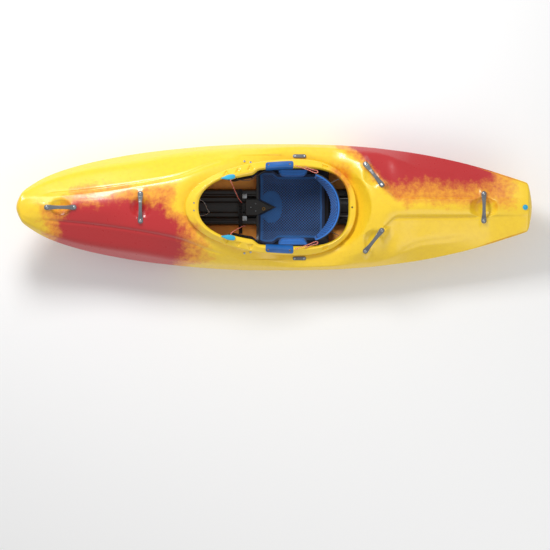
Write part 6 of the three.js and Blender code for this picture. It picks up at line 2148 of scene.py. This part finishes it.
@dataclass
class Studio:
    """The floor, the lights and the camera straight above the boat."""

    height: float = 20.0
    lens: float = 241.9
    sensor: float = 36.0
    tilt: float = 1.05
    floor_half: float = 30.0
    floor_shade: float = 0.93
    sky: float = 0.55
    lamps: tuple = (("key", (-1.3, 2.7, 3.4), 1.3, 135), ("fill", (2.6, -2.8, 3.4), 3.0, 40))

    def put(self, name: str, data: bpy.types.ID, place: Point, turn: Point) -> bpy.types.Object:
        """Put a mesh, a lamp or a camera in the scene.

        Args:
            name: the object's name.
            data: what it shows.
            place: where it stands, in metres.
            turn: how it is turned, in radians.

        Returns:
            The new object.
        """
        made = bpy.data.objects.new(name, data)
        made.location, made.rotation_euler = place, turn
        bpy.context.scene.collection.objects.link(made)
        return made

    def build(self) -> None:
        """Set the stage."""
        scene, half = bpy.context.scene, self.floor_half
        scene.view_settings.view_transform = "Standard"
        lens = bpy.data.cameras.new("camera")
        lens.lens, lens.sensor_width = self.lens, self.sensor
        scene.camera = self.put("camera", lens, (0, 0, self.height), (-math.radians(self.tilt), 0, 0))
        board = Board("floor")
        board.set(Base_Color=(*[self.floor_shade] * 3, 1), Roughness=0.9)
        mesh = bpy.data.meshes.new("floor")
        mesh.from_pydata([(-half, -half, 0), (half, -half, 0), (half, half, 0), (-half, half, 0)], [], [(0, 1, 2, 3)])
        mesh.materials.append(board.material)
        self.put("floor", mesh, (0, 0, 0), (0, 0, 0))
        scene.world = bpy.data.worlds.new("world")
        scene.world.use_nodes = True
        background = scene.world.node_tree.nodes["Background"]
        background.inputs["Color"].default_value = (1, 1, 1, 1)
        background.inputs["Strength"].default_value = self.sky
        for name, (x, y, z), size, power in self.lamps:
            lamp = bpy.data.lights.new(name, "AREA")
            lamp.energy, lamp.size = power, size
            self.put(name, lamp, (x, y, z), (math.atan2(math.hypot(x, y), z), 0, math.atan2(x, -y)))


@dataclass
class Kayak:
    """The whole boat, put together from its sub-assemblies."""

    shop: Workshop = field(default_factory=Workshop)
    form: HullForm = field(default_factory=HullForm)
    kept: tuple = ("footrest_rail_starboard", "footrest_rail_port", "footrest_plate", "hip_support_starboard",
                   "hip_support_port", "thigh_brace_starboard", "thigh_brace_port", "backband_bracket")
    kept_steel: str = "backband_hinge_pin"

    def build(self) -> None:
        """Make every piece, and dress the CAD nodes that stay."""
        shop, form = self.shop, self.form
        cockpit, bolts = Cockpit(form), Bolts(shop)
        places = [HandlePlace(form, label, x * HALF_LENGTH, y * HALF_BEAM, turn) for label, x, y, turn in HANDLE_TABLE]
        for assembly in (Cords(shop), Hull(form, cockpit, places, shop, bolts), Handles(places, shop, bolts),
                         Plug(shop), Tray(form, shop), Seat(shop, bolts), Backband(shop),
                         Grips(form, cockpit, shop, bolts), Footrest(shop)):
            assembly.build()
        for node in self.kept:
            shop.keep(node, Look.BLACK)
        shop.keep(self.kept_steel, Look.STEEL)
        LOG.info("%d pieces made", shop.count)


def main() -> None:
    """Build the scene."""
    logging.basicConfig(level=logging.INFO, format="%(name)s %(message)s")
    Studio().build()
    Kayak().build()


if __name__ == "__main__":
    main()
